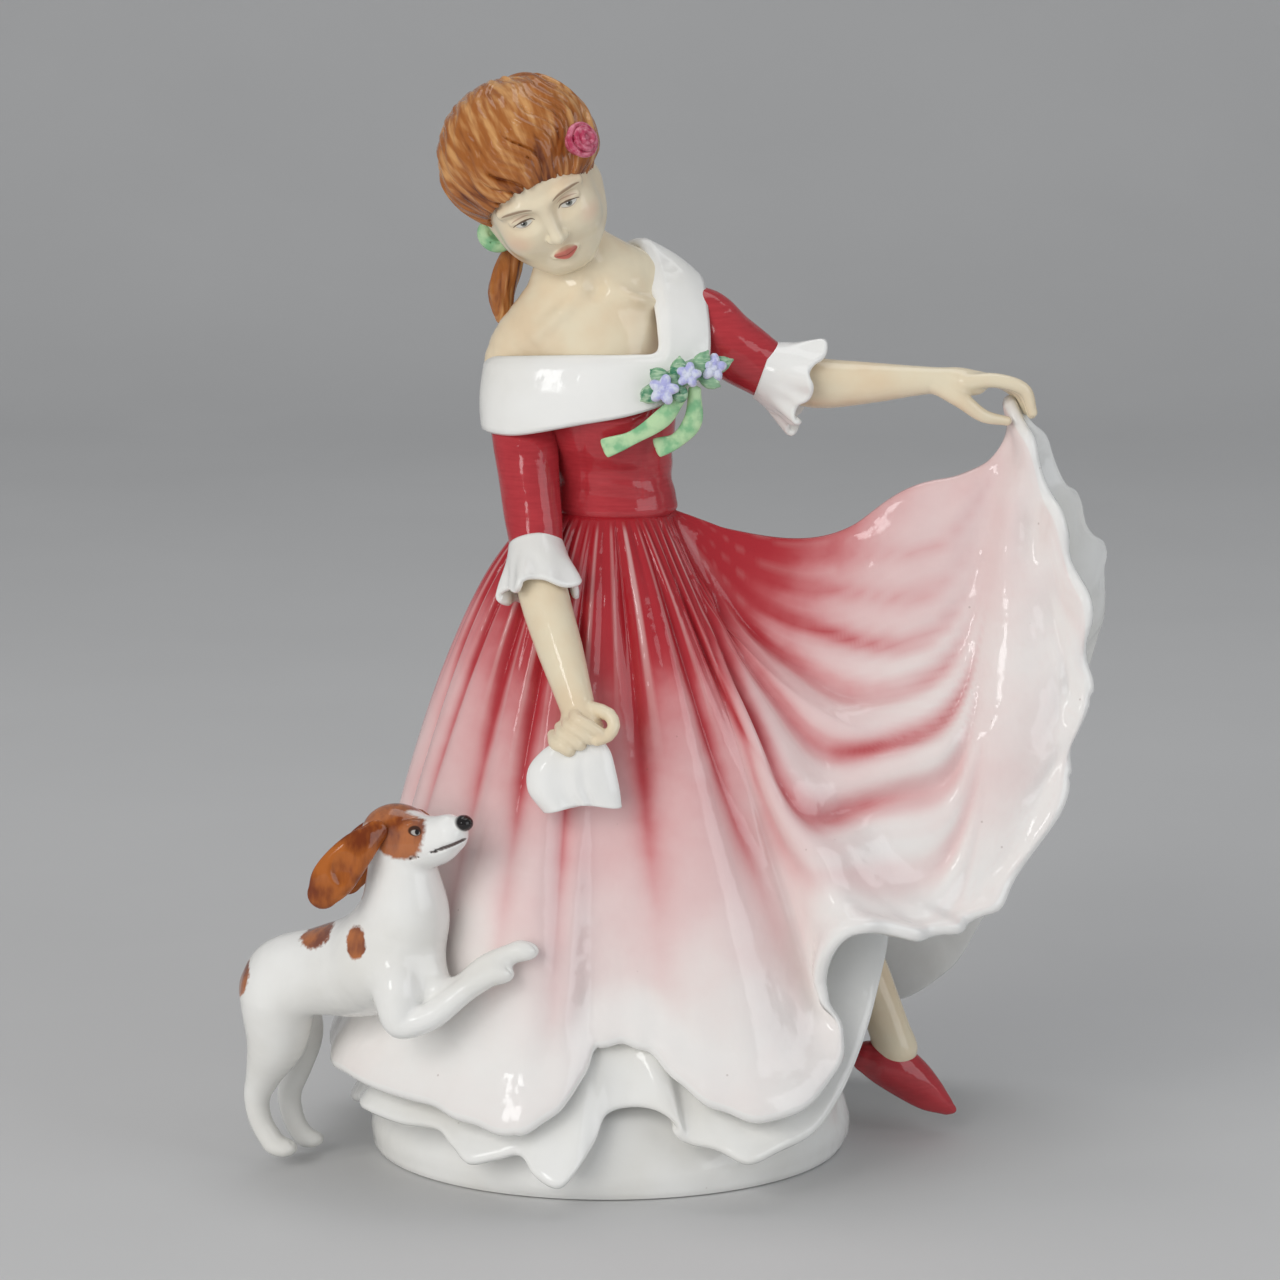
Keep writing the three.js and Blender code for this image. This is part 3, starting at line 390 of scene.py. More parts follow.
def buildSpot():  # one oval brush spot with a ragged edge
    inputs = {"Point": "Vector", "Middle": "Vector", "Reach": "Vector", "Edge": "Float", "Ragged": "Float"}
    tree, given, out = newGroup("paintSpot", inputs, {"Mask": "Float"})
    away = addNode(tree, "ShaderNodeVectorMath", operation="SUBTRACT")
    feed(tree, away.inputs[0], given["Point"])
    feed(tree, away.inputs[1], given["Middle"])
    share = addNode(tree, "ShaderNodeVectorMath", operation="DIVIDE")
    feed(tree, share.inputs[0], away.outputs[0])
    feed(tree, share.inputs[1], given["Reach"])
    far = addNode(tree, "ShaderNodeVectorMath", operation="LENGTH")
    feed(tree, far.inputs[0], share.outputs[0])
    rough = calc(tree, "SUBTRACT", noise(tree, given["Point"], 0.9, 3.0), 0.5)
    reach = calc(tree, "MULTIPLY_ADD", rough, given["Ragged"], far.outputs["Value"])
    inside = calc(tree, "SUBTRACT", 1.0, given["Edge"])
    feed(tree, out["Mask"], fade(tree, reach, inside, 1.0, 1.0, 0.0))
    return tree


rippleGroup, speckGroup, brushGroup, spotGroup = buildRipple(), buildSpecks(), buildBrush(), buildSpot()
glazeIndex = 1.5  # how strongly the clear glaze bends light


def glazed(name, paint, wave=0.25, rough=(0.05, 0.11)):  # paint(tree, point) gives the colour under the glaze
    material = bpy.data.materials.new(name)
    material.use_nodes = True
    tree = material.node_tree
    body = tree.nodes["Principled BSDF"]
    place = addNode(tree, "ShaderNodeTexCoord").outputs["Object"]
    scale = addNode(tree, "ShaderNodeVectorMath", operation="SCALE")
    feed(tree, scale.inputs[0], place)
    scale.inputs["Scale"].default_value = 1 / mm
    point = scale.outputs[0]
    feed(tree, body.inputs["Base Color"], paint(tree, point))
    ripple = use(tree, rippleGroup, Point=point)
    feed(tree, body.inputs["Roughness"], fade(tree, ripple["Gloss"], 0.0, 1.0, *rough))
    relief = addNode(tree, "ShaderNodeBump")
    feed(tree, relief.inputs["Height"], ripple["Height"])
    relief.inputs["Strength"].default_value = wave
    relief.inputs["Distance"].default_value = mm
    feed(tree, body.inputs["Normal"], relief.outputs[0])
    body.inputs["IOR"].default_value = glazeIndex
    return material


# glazes
white = (0.86, 0.86, 0.84, 1)
shadowWhite = (0.78, 0.77, 0.73, 1)
crimson = (0.47, 0.04, 0.05, 1)
deepCrimson = (0.25, 0.012, 0.018, 1)
speckBrown = (0.2, 0.09, 0.06, 1)


def whitePaint(tree, point):
    clouded = twoTone(white, shadowWhite, 0.05, 0.35, 0.8)(tree, point)
    specks = use(tree, speckGroup, Point=point, Amount=0.008)["Mask"]
    return dab(tree, specks, 0.2, clouded, speckBrown)


def crimsonPaint(tree, point):
    return use(tree, brushGroup, Point=point, Color=crimson, Dark=deepCrimson, Depth=0.38)["Color"]


whiteGlaze = glazed("white glaze", whitePaint)
crimsonGlaze = glazed("crimson glaze", crimsonPaint, 0.35)


skirtReach = 115.0
skirtShades = (  # millimetres from the waist, colour
    (0, (0.38, 0.018, 0.026, 1)),
    (18, (0.41, 0.022, 0.032, 1)),
    (30, (0.46, 0.04, 0.05, 1)),
    (39, (0.61, 0.19, 0.2, 1)),
    (48, (0.7, 0.35, 0.355, 1)),
    (60, (0.76, 0.52, 0.515, 1)),
    (74, (0.8, 0.61, 0.6, 1)),
    (90, (0.84, 0.76, 0.735, 1)),
    (108, (0.86, 0.85, 0.83, 1)),
)
crestRose = (0.82, 0.62, 0.6, 1)


def skirtPaint(tree, point):
    reach = attribute(tree, "reach")  # millimetres down the cloth from the waist
    valley = attribute(tree, "valley")
    cloud = calc(tree, "SUBTRACT", noise(tree, point, 0.06, 4.0), 0.5)
    pull = calc(tree, "MULTIPLY_ADD", valley, -26.0, calc(tree, "MULTIPLY_ADD", cloud, 34.0, reach))
    stops = addNode(tree, "ShaderNodeValToRGB")
    ramp = stops.color_ramp
    ramp.interpolation = "B_SPLINE"
    while len(ramp.elements) < len(skirtShades):
        ramp.elements.new(0.5)
    for stop, (at, color) in zip(ramp.elements, skirtShades):
        stop.position = at / skirtReach
        stop.color = color
    feed(tree, stops.inputs[0], calc(tree, "DIVIDE", pull, skirtReach))
    # the crests of the fine pleats and the swags are painted paler
    paleOnCrests = dab(tree, attribute(tree, "crest"), 0.65, stops.outputs[0], crestRose)
    specks = use(tree, speckGroup, Point=point, Amount=0.03)["Mask"]
    return dab(tree, specks, 0.3, paleOnCrests, speckBrown)


skirtGlaze = glazed("shaded rose glaze", skirtPaint, 0.3)

# skirt
skirt = {
    "columns": 600,
    "rows": 112,
    "waist": (11.8, 9.6),  # half width, half depth
    "hemRing": (51, 49, 16),  # half width, half depth, height
    "wall": 1.9,
    "hemWall": 3.0,
    "innerShares": (1, 0.97, 0.93, 0.88, 0.82, 0.75, 0.67, 0.59, 0.51, 0.43, 0.36, 0.29, 0.22),  # rows inside
    "pinch": (76.0, 0.5, 140.5),  # where the hand holds the cloth
    "puff": (57, 11, 6.5),  # the lifted edge puffs up: place, reach and height
    "deepestSag": 44.0,
    "softSag": 12.0,
    "swagRate": 7.4,  # folds for each step of the fan
    "swagFrom": 6.0,  # where the swags leave the waist
    "swagDepth": 3.0,
    "fanFolds": 11,  # short folds straight down from the hand
    "fanDepth": 1.5,
    "pleatRound": 44,
    "finePleat": 0.8,  # depths of the pleats at the waist, halfway and below
    "middlePleat": 1.25,
    "broadPleat": 1.7,
    "swing": (316, 15),  # angle and reach of the pleats that swing in a slow S beside the lifted part
    "hemRipple": 14.0,
    "hemRoll": 2.2,
    "hemSway": 0.8,
    "calmHem": (311, 9),  # angle and reach where the hem climbs smoothly over the leg
    "liftedShade": 64,  # the lifted part stays pink: millimetres on the scale of shades
    "hemShade": 104,
    "insideShade": 130.0,
}


def lying(waistAngle, hemAngle, out, up, sag=-23):  # hem on the usual ring
    a = math.radians(hemAngle)
    wide, deep, height = skirt["hemRing"]
    return waistAngle, sag, 0.0, ((wide + out) * math.cos(a), (deep + out) * math.sin(a), height + up)


def lifted(waistAngle, dx, dy, dz, sag, gather=0.0):  # hem measured from the hand
    x, y, z = skirt["pinch"]
    return waistAngle, sag, gather, (x + dx, y + dy, z + dz)


skirtStations = [
    lying(252, 252, 0, 0.6, -14),
    lying(261, 260, -4, 6, -13),
    lying(268, 266, -11, 14, -12),
    lying(277, 280, -11, 14, -12),
    lying(287, 293, -3, 5, -12),
    lying(295, 304, 3, 2, -11),
    lying(303, 319, 3, 9, -8),
    lying(309, 321, 0, 22, -2),
    lifted(316, -32, -36, -90, 6),
    lifted(322, -18, -31, -92, 14),
    lifted(329, -6, -24, -88, 23),
    lifted(337, 9, -17, -62, 35),
    lifted(344, 12, -13, -40, 42),
    lifted(352, 6, -6, -18, 42),
    lifted(360, 0, 0, 0, 18, 0.16),
    lifted(368, 10, 7, -16, 42),
    lifted(376, 18, 16, -33, 38),
    lifted(386, 15, 26, -53, 26),
    lifted(398, 2, 35, -96, 8),
    lying(412, 396, 22, 2, -8),
    lying(430, 415, 10, 5, -18),
    lying(448, 437, 0, 9),
    lying(465, 464, 3, -2),
    lying(485, 489, -1, 7),
    lying(510, 513, 4, -3),
    lying(535, 536, -1, 7),
    lying(565, 563, 2, 5),
    lying(590, 591, 0, 3.5, -18),
]
stationAngles, stationSags, stationGathers, stationHems = (list(part) for part in zip(*skirtStations))


def cloth(t, v):  # smooth sheet: t round the hem, v down from the waist
    angle = np.radians(cyclic(stationAngles, t, 360.0))
    sag = cyclic(stationSags, t)
    gather = cyclic(stationGathers, t)
    wide, deep = skirt["waist"]
    top = np.stack([wide * np.cos(angle), deep * np.sin(angle), np.full_like(angle, waistHeight)], -1)
    foot = curve(stationHems, t % 1, True)
    spare = np.hypot(sag, skirt["softSag"])
    hung = np.clip((spare + sag) / 2 / skirt["deepestSag"], 0, 1)
    belly = np.clip(4 * np.sin(angle), -1, 1) * 0.14 * (spare + sag)
    flare = 0.095 * (spare - sag)
    zero = np.zeros_like(angle)
    outward = np.stack([np.cos(angle), np.sin(angle), zero], -1)

    near = 0.8 / len(stationHems)  # the hem's waves are evened out over this
    weights = zip(range(-2, 3), (1, 4, 6, 4, 1))
    even = sum(k * curve(stationHems, (t + n * near) % 1, True) for n, k in weights) / 16

    def handle(share, drop, end):
        lean = outward * (flare * drop)[:, None] + np.stack([zero, belly, -sag * drop], -1)
        return top + (end - top) * share[:, None] + lean

    upper = handle(1 / 3 - 0.1 * hung + gather, np.ones_like(angle), even)
    lower = handle(2 / 3 + 0.17 * hung + gather, 0.46 + 0.5 * hung, (even + foot) / 2)
    w = v[:, None, None]
    return top * (1 - w) ** 3 + upper * 3 * w * (1 - w) ** 2 + lower * 3 * w * w * (1 - w) + foot * w**3


def skirtColumns(count):  # even columns, shared between the waist and the hem
    fine = np.linspace(0, 1, 4001)
    hemSteps = np.diff(curve(stationHems, fine % 1, True), axis=0)
    hemRun = np.r_[0, np.cumsum(np.linalg.norm(hemSteps, axis=1))]
    waistRun = cyclic(stationAngles, fine, 360.0) - stationAngles[0]
    run = hemRun / hemRun[-1] + 1.2 * waistRun / waistRun[-1]
    return np.interp(np.arange(count) / count * run[-1], run, fine), hemRun[-1]


def swagFolds(base):  # folds that hang from the waist to the hand: fold count and how open they are
    x, z = base[..., 0], base[..., 2]
    handX, _, handZ = skirt["pinch"]
    u = (x - skirt["swagFrom"]) / (handX - skirt["swagFrom"])
    hang = 1 - np.exp(-((np.clip(u, 0, None) / 0.3) ** 2))
    hang = hang * (1 - np.exp(-((np.abs(1 - u) / 0.085) ** 1.2)))
    chord = waistHeight + (handZ - waistHeight) * np.clip(u, 0, 1)
    drop = np.clip(chord - z, 0, None) / np.clip(hang, 0.03, None)
    stray = 0.24 + 0.2 * np.sin(0.09 * x + 0.05 * z) + 0.14 * np.sin(0.17 * x - 0.12 * z + 1)
    count = skirt["swagRate"] * np.log1p(drop / 30) + stray
    slopes = []
    for axis in (0, 1):
        step = np.linalg.norm(np.gradient(base, axis=axis), axis=-1)
        slopes.append(np.gradient(count, axis=axis) / np.clip(step, 0.02, None))
    spacing = 1 / np.clip(np.hypot(*slopes), 0.02, None)
    return count, spacing, drop, u


def fold(phase, bottom):  # rounded crests, narrow valleys with a rounded bottom
    height = np.sqrt(np.sin(phase) ** 2 + bottom**2) - bottom
    return height / (np.sqrt(1 + bottom**2) - bottom)


def skirtWall(base, outer, normal, rise, down, calm, fromHand, v):  # the rolled hem and the inner face
    rows = len(base)
    edge = outer[-1]
    edgeWay = unit(np.roll(edge, -1, axis=0) - np.roll(edge, 1, axis=0))
    edgeOut = gridNormals(outer)[-1] * (1 - calm[0, :, None]) + normal[-1] * calm[0, :, None]
    edgeOut = unit(edgeOut - edgeWay * (edgeOut * edgeWay).sum(-1, keepdims=True))
    edgeDown = np.cross(edgeWay, edgeOut)
    edgeDown = edgeDown * np.sign((edgeDown * down[-1]).sum())
    lip = rolledEdge(edge, edgeOut, edgeDown, skirt["hemWall"] / 2, (30, 62, 90, 118, 150))
    index = np.searchsorted(v, skirt["innerShares"]).clip(0, rows - 1)
    kept = (v[index] ** 2)[:, None]  # how much of the folds shows inside
    slim = 0.25 + 0.75 * smoothStep(6, 42, fromHand)  # thin where front and back meet
    padded = np.pad(rise, ((6, 6), (0, 0)), "edge")
    lowest = np.min([padded[k : k + rows] for k in range(13)], axis=0)  # deepest fold close by
    lowest = np.min([np.roll(lowest, k, axis=1) for k in range(-3, 4)], axis=0)
    sink = np.minimum(lowest[index], rise[index] * kept) - slim * (skirt["wall"] + 1.1 * (1 - kept))
    inner = base[index] + normal[index] * sink[..., None]
    inner[0] = edge - edgeOut * skirt["hemWall"]
    return lip, inner


def buildSkirt():
    columns, rows = skirt["columns"], skirt["rows"]
    t, hemLength = skirtColumns(columns)
    v = np.linspace(0, 1, rows) ** 0.92
    base = cloth(t, v)
    degrees = cyclic(stationAngles, t, 360.0)
    fromHand = np.abs(degrees - 360)[None]
    puffX, puffReach, puff = skirt["puff"]
    puff = puff * bump(base[..., 0], puffX, puffReach)
    base[..., 2] += puff * (1 - smoothStep(2, 14, fromHand))
    normal = gridNormals(base)
    down = unit(np.gradient(base, axis=0))
    steps = np.linalg.norm(np.diff(base, axis=0), axis=2)
    run = np.r_[np.zeros((1, columns)), np.cumsum(steps, axis=0)]  # millimetres down the cloth

    # pleats that hang from the waist
    angle = np.radians(degrees)
    warped = angle + 0.05 * np.sin(3 * angle + 1) + 0.022 * np.sin(8 * angle + 2) + 0.012 * np.sin(17 * angle)
    w = v[:, None]
    beside = bump(degrees, *skirt["swing"])[None]
    lean = 0.1 * w * np.sin(2 * angle + 0.6)[None] + 0.15 * beside * np.sin(2 * math.pi * w)
    half = skirt["pleatRound"] / 2

    def pleat(count, bow):
        return fold(count / 2 * (warped[None] + lean * bow), 0.06 + 0.24 * w) ** 0.8

    uneven = 0.62 + 0.38 * np.sin(5 * angle + 2.1)[None] * np.sin(13 * angle + 0.4)[None]
    fine = pleat(skirt["pleatRound"], 0.4)
    middle = pleat(half, 0.7)
    broad = pleat(half / 2, 1.0)
    fineDepth = skirt["finePleat"] * smoothStep(0, 0.05, w) * (1 - smoothStep(0.2, 0.6, w)) * uneven
    middleDepth = skirt["middlePleat"] * smoothStep(0.05, 0.25, w) * (1 - smoothStep(0.45, 0.95, w))
    broadDepth = skirt["broadPleat"] + 1.2 * beside
    broadDepth = broadDepth * smoothStep(0.25, 0.65, w) * (1 - 0.75 * smoothStep(0.75, 1.0, w))
    hanging = fineDepth * (fine - 0.6) + middleDepth * (middle - 0.6) + broadDepth * (broad - 0.6)

    # swags that hang from the hand
    count, spacing, drop, u = swagFolds(base)
    aloft = 1 - smoothStep(30, 62, fromHand)
    share = aloft * smoothStep(0.06, 0.3, u)
    swag = fold(math.pi * count, 0.2)
    swagDepth = np.clip(0.5 * (spacing - 1.6), 0, skirt["swagDepth"])
    swagDepth = swagDepth * smoothStep(0, 0.12, w) * (1 - 0.75 * smoothStep(0.7, 1.0, w))
    swagDepth = swagDepth * (1 - 0.6 * smoothStep(70, 130, drop)) * smoothStep(3, 12, drop)
    swagDepth = swagDepth * (0.15 + 0.85 * smoothStep(3, 12, fromHand))
    varied = 0.75 + 0.25 * np.sin(2 * math.pi * 0.43 * count + 0.06 * base[..., 0])  # no two folds alike
    swagDepth = swagDepth * varied
    handX, _, handZ = skirt["pinch"]
    away, below = base[..., 0] - handX, handZ - base[..., 2]
    radius = np.hypot(away, below)
    fan = aloft * smoothStep(0.78, 0.95, u) * smoothStep(6, 30, radius) * (1 - smoothStep(60, 105, radius))
    fan = skirt["fanDepth"] * fan * np.cos(skirt["fanFolds"] * np.arctan2(away, below) + 0.5)

    # hem
    hem = np.sin(2 * math.pi * t * hemLength / skirt["hemRipple"] + 1.3 * np.sin(9 * angle))[None]
    calm = bump(degrees, *skirt["calmHem"])[None]
    ripple = hem * smoothStep(0.82, 1.0, w) * (0.12 + 0.7 * aloft) * (1 - calm)
    roll = (skirt["hemRoll"] + 1.2 * calm) * smoothStep(0.88, 1.0, w) ** 2  # the hem turns out
    steady = (calm * smoothStep(0.65, 0.9, w))[..., None]
    normal = unit(normal * (1 - steady) + normal[int(0.65 * rows)] * steady)

    rise = (1 - share) * hanging + share * swagDepth * (swag - 0.6) + fan + ripple + roll
    outer = base + normal * rise[..., None]
    sway = skirt["hemSway"] * hem * smoothStep(0.9, 1.0, w) * (0.3 + 0.7 * aloft) * (1 - calm)
    outer = outer + down * sway[..., None]

    # where the colour gathers, and where the fold crests are painted paler
    valley = 0.75 * (1 - share) * (1 - middle) ** 2 * smoothStep(0.02, 0.2, w) * (1 - smoothStep(0.6, 1.0, w))
    patchy = 0.6 + 0.4 * np.sin(1.9 * np.round(count) + 0.09 * base[..., 0])  # in parts of a fold only
    valley = valley + 1.25 * share * (1 - swag) ** 1.4 * np.clip(swagDepth, 0, 1) * patchy
    crest = (1 - share) * smoothStep(0.93, 1.0, fine) * fineDepth
    crest = (crest + share * smoothStep(0.96, 1.0, swag) * 0.15) * smoothStep(0.0, 0.06, w)
    reach = run + 12 * (1 - smoothStep(-30, -8, base[..., 0])) * smoothStep(0, 0.3, w)
    reach = reach + 5 * share * smoothStep(8, 30, drop)
    flat = share * smoothStep(50, 76, base[..., 2]) * smoothStep(25, 55, reach)
    reach = reach + flat * 0.4 * (skirt["liftedShade"] - reach)
    # the swag crests are painted whiter, their valleys less so
    paleOnCrests = 0.45 + (smoothStep(0.4, 0.95, swag) - 0.45) * smoothStep(0.3, 1.6, swagDepth)
    reach = reach + 18 * share * paleOnCrests * smoothStep(36, 60, reach)
    whiteHem = (1 - smoothStep(4, 13, run[-1:] - run)) * smoothStep(0.4, 0.8, w)
    whiteHem = whiteHem * (1 - 0.7 * share * smoothStep(95, 120, base[..., 2]))
    reach = reach + (skirt["hemShade"] - reach) * whiteHem

    lip, inner = skirtWall(base, outer, normal, rise, down, calm, fromHand, v)
    rings = np.concatenate([outer, lip, inner])
    painted = rows + len(lip) - 2

    def spread(data, fill):
        full = np.full((len(rings), columns), fill, float)
        full[:rows] = data
        return np.r_[full.ravel(), fill, fill]

    layers = {
        "reach": spread(reach, skirt["insideShade"]),
        "valley": spread(np.clip(valley, 0, 1), 0.0),
        "crest": spread(crest, 0.0),
    }
    inside = [0] * ((painted - 1) * columns) + [1] * ((len(rings) - painted) * columns) + [0, 1] * columns
    skin, glazes = closedSkin(rings), [skirtGlaze, whiteGlaze]
    makePiece("skirt_drape", *skin, glazes, ["skirt"], "shaded_rose_glaze", layers, inside)


buildSkirt()

# petticoat
petticoat = {
    "top": 92.0,
    "topRadius": 7.0,
    "gather": (35.0, 33.0, 36.0),  # half width, half depth and height where the frill starts
    "wall": 2.2,
    "belly": 7.0,
    "liftFrom": 14.0,  # an edge above this counts as lifted
    "overLeg": 38.0,  # how far the gathers rise over the leg
    "legAngles": (322, 345, 388, 408),  # where that starts, is full, ends and is over
    "coneRows": 7,
    "frillRows": 34,
    "columns": 520,
    "edge": (  # angle at the gathers, then the frill's lowest edge
        (200, -46.5, -14, 13), (210, -45.4, -24, 14.6), (220, -38.4, -32, 14.2), (228, -30.9, -37, 14.2),
        (233, -28.5, -39.5, 12), (238, -25.5, -43, 9.8), (244, -19.8, -44, 10.9),
        (250, -16.2, -44.5, 11.7), (255, -13.3, -48, 9), (260, -8.9, -50, 7.3), (264, -5.6, -48.5, 9.4),
        (267, -2.2, -44, 13.3), (271, 0.4, -40.5, 18.2), (276, 4.8, -40, 19.3), (280, 9.6, -42, 18.8),
        (284, 13, -43, 16.5), (289, 15, -43, 13.5), (294, 19.5, -44, 12.6), (300, 25.4, -45.8, 10.6),
        (306, 31.3, -43, 12.2), (314, 37.6, -37.5, 14), (321, 42.4, -31.5, 19), (328, 46.2, -26, 26),
        (336, 49.6, -19.5, 34.5), (345, 52, -11.5, 41), (355, 53, -2, 46), (365, 53, 8, 48),
        (374, 51, 17, 45), (382, 47.4, 24, 35), (390, 41.6, 29.5, 22), (398, 34.5, 33.5, 13),
        (410, 30.5, 39.6, 9.6), (423, 18.5, 40.4, 13.4), (436, 10.5, 45.6, 9.4), (449, -1.4, 41.8, 13),
        (462, -10.8, 45, 9.8), (475, -20.4, 39, 13.6), (488, -31.2, 37.4, 9.6), (501, -35.6, 28, 13.2),
        (514, -44.2, 22.4, 10), (528, -44, 11.4, 13.4), (544, -49, -1, 10.2),
    ),
}


def buildPetticoat():
    t = np.arange(petticoat["columns"]) / petticoat["columns"]
    angle = np.radians(cyclic([point[0] for point in petticoat["edge"]], t, 360.0))
    edge = curve([point[1:] for point in petticoat["edge"]], t, True)
    wide, deep, height = petticoat["gather"]
    top, radius = petticoat["top"], petticoat["topRadius"]
    raised = np.clip(edge[:, 2] - petticoat["liftFrom"], 0, None)[:, None]
    degrees = np.degrees(angle)[:, None]
    start, full, end, past = petticoat["legAngles"]
    over = smoothStep(start, full, degrees) * (1 - smoothStep(end, past, degrees))
    gatherZ = height + np.maximum(0.95 * raised, petticoat["overLeg"] * over)
    around = np.stack([np.cos(angle), np.sin(angle), np.zeros_like(angle)], -1)

    def cone(z):
        share = (top - z) / (top - height)
        halves = np.hstack([radius + (wide - radius) * share, radius + (deep - radius) * share, z])
        return around * halves + (0, 0, 1) * z

    gather = cone(gatherZ)
    shares = np.linspace(0, 1, petticoat["coneRows"])[:-1]
    rings = [cone(top + (gatherZ - top) * share) for share in shares]  # plain cone under the skirt
    for share in np.linspace(0, 1, petticoat["frillRows"]):
        ease = share ** (1.5 - 0.7 * np.clip(raised / 25, 0, 1))
        ring = gather * (1 - share) + edge * share
        belly = around * petticoat["belly"] * share * (1 - share)
        ring[:, :2] = (gather * (1 - ease) + edge * ease + belly)[:, :2]
        rings.append(ring)
    outer = np.array(rings)
    normal = gridNormals(outer)
    down = unit(np.gradient(outer, axis=0))
    lip = rolledEdge(outer[-1], normal[-1], down[-1], petticoat["wall"] / 2, (35, 70, 110, 145))
    inner = (outer - normal * petticoat["wall"])[::-3]
    skin = closedSkin(np.concatenate([outer, lip, inner]))
    makePiece("petticoat_frill", *skin, [whiteGlaze], ["petticoat"], "white_glaze")


buildPetticoat()

# plinth
plinth = {
    "halfWidth": 45.5,
    "halfDepth": 40.0,
    "profile": [  # share of the half width, height
        (0.02, 0), (0.5, 0), (0.93, 0), (0.965, 0.15), (0.985, 0.8), (1.0, 2.6), (1.004, 4.6),
        (0.995, 6.6), (0.975, 9.4), (0.945, 12.6), (0.9, 15.6), (0.83, 18.0), (0.72, 19.0), (0.4, 19.0),
        (0.02, 19.0),
    ],
    "rows": 70,
    "columns": 180,
}


def buildPlinth():
    angle = roundTurn(plinth["columns"])
    points = [(share, height, 0) for share, height in plinth["profile"]]
    line = curve(points, np.linspace(0, 1, plinth["rows"]))
    hand = 0.35 * np.sin(3 * angle + 0.5) + 0.25 * np.sin(7 * angle + 2)  # shaped by hand
    rings = []
    for share, height, _ in line:
        soft = hand * smoothStep(0.5, 1, share) * smoothStep(0, 3, height)
        x = (plinth["halfWidth"] * share + soft) * np.cos(angle)
        y = (plinth["halfDepth"] * share + soft) * np.sin(angle)
        rings.append(np.stack([x, y, np.full_like(angle, max(height, 0.0))], -1))
    skin = closedSkin(np.array(rings))
    makePiece("plinth_mound", *skin, [whiteGlaze], ["base_plinth"], "white_glaze")


buildPlinth()

# flesh and face paints
ivory = (0.8, 0.71, 0.53, 1)
warmIvory = (0.77, 0.62, 0.43, 1)
coral = (0.5, 0.075, 0.06, 1)
lowerCoral = (0.58, 0.13, 0.1, 1)
lipLine = (0.2, 0.02, 0.02, 1)
blush = (0.72, 0.24, 0.18, 1)
lashBrown = (0.09, 0.045, 0.025, 1)
lowerLash = (0.25, 0.13, 0.08, 1)
lidShade = (0.55, 0.36, 0.26, 1)
lidLine = (0.35, 0.18, 0.12, 1)
browBrown = (0.2, 0.1, 0.05, 1)
eyeWhite = (0.72, 0.71, 0.66, 1)
irisGrey = (0.13, 0.14, 0.12, 1)
pupilBlack = (0.01, 0.01, 0.01, 1)
glint = (0.9, 0.9, 0.9, 1)
nostrilShade = (0.45, 0.2, 0.14, 1)
skinTone = twoTone(ivory, warmIvory, 0.09, 0.35, 0.75)


def buildArc():  # one tapered brush stroke, bowed, on the front of the face
    numbers = dict.fromkeys(("X", "Z", "Length", "Slope", "Bow", "Width", "Edge"), "Float")
    tree, given, out = newGroup("paintArc", {"Point": "Vector", **numbers}, {"Mask": "Float"})
    parts = addNode(tree, "ShaderNodeSeparateXYZ")
    feed(tree, parts.inputs[0], given["Point"])
    dx = calc(tree, "SUBTRACT", parts.outputs["X"], given["X"])
    along = calc(tree, "DIVIDE", dx, given["Length"])
    square = calc(tree, "MULTIPLY", along, along)
    lean = calc(tree, "MULTIPLY_ADD", dx, given["Slope"], given["Z"])
    middle = calc(tree, "MULTIPLY_ADD", square, given["Bow"], lean)
    taper = calc(tree, "SQRT", calc(tree, "MAXIMUM", calc(tree, "SUBTRACT", 1.0, square), 0.0004))
    off = calc(tree, "ABSOLUTE", calc(tree, "SUBTRACT", parts.outputs["Z"], middle))
    share = calc(tree, "DIVIDE", off, calc(tree, "MULTIPLY", taper, given["Width"]))
    full, none = (calc(tree, operation, 1.0, given["Edge"]) for operation in ("SUBTRACT", "ADD"))
    soft = fade(tree, share, full, none, 1.0, 0.0)
    front = calc(tree, "LESS_THAN", parts.outputs["Y"], 0.0)
    within = calc(tree, "MULTIPLY", front, calc(tree, "LESS_THAN", square, 1.0))
    feed(tree, out["Mask"], calc(tree, "MULTIPLY", soft, within))
    return tree


arcGroup = buildArc()

# head, in its own tilted frame
head = {
    "place": (-13.0, -8.0, 61.4),
    "lean": -25.0,
    "nod": 29.0,
    "eyeX": 4.5,
    "eyeZ": 0.35,
    "eyeDeep": -8.3,
    "eyeRadius": 2.45,
    "browZ": 3.6,
    "noseZ": -3.8,
    "mouthZ": -8.6,
}
headPlace = (
    upperPlace
    @ Matrix.Translation(Vector(head["place"]) * mm)
    @ Matrix.Rotation(math.radians(head["lean"]), 4, "Y")
    @ Matrix.Rotation(math.radians(head["nod"]), 4, "X")
)


def intoHead(points):  # from the frame above the waist into the head's own
    turn = np.array(headPlace.to_3x3())
    return (np.array(points, float) - np.array(head["place"])) @ turn


neckLine = [(-3.4, 1.8, 40.0), (-5.4, 0.6, 46.0), (-8.6, -2.2, 52.0), (-11.0, -5.0, 57.0)]
neckRadii = (6.4, 6.1, 5.9, 6.1)


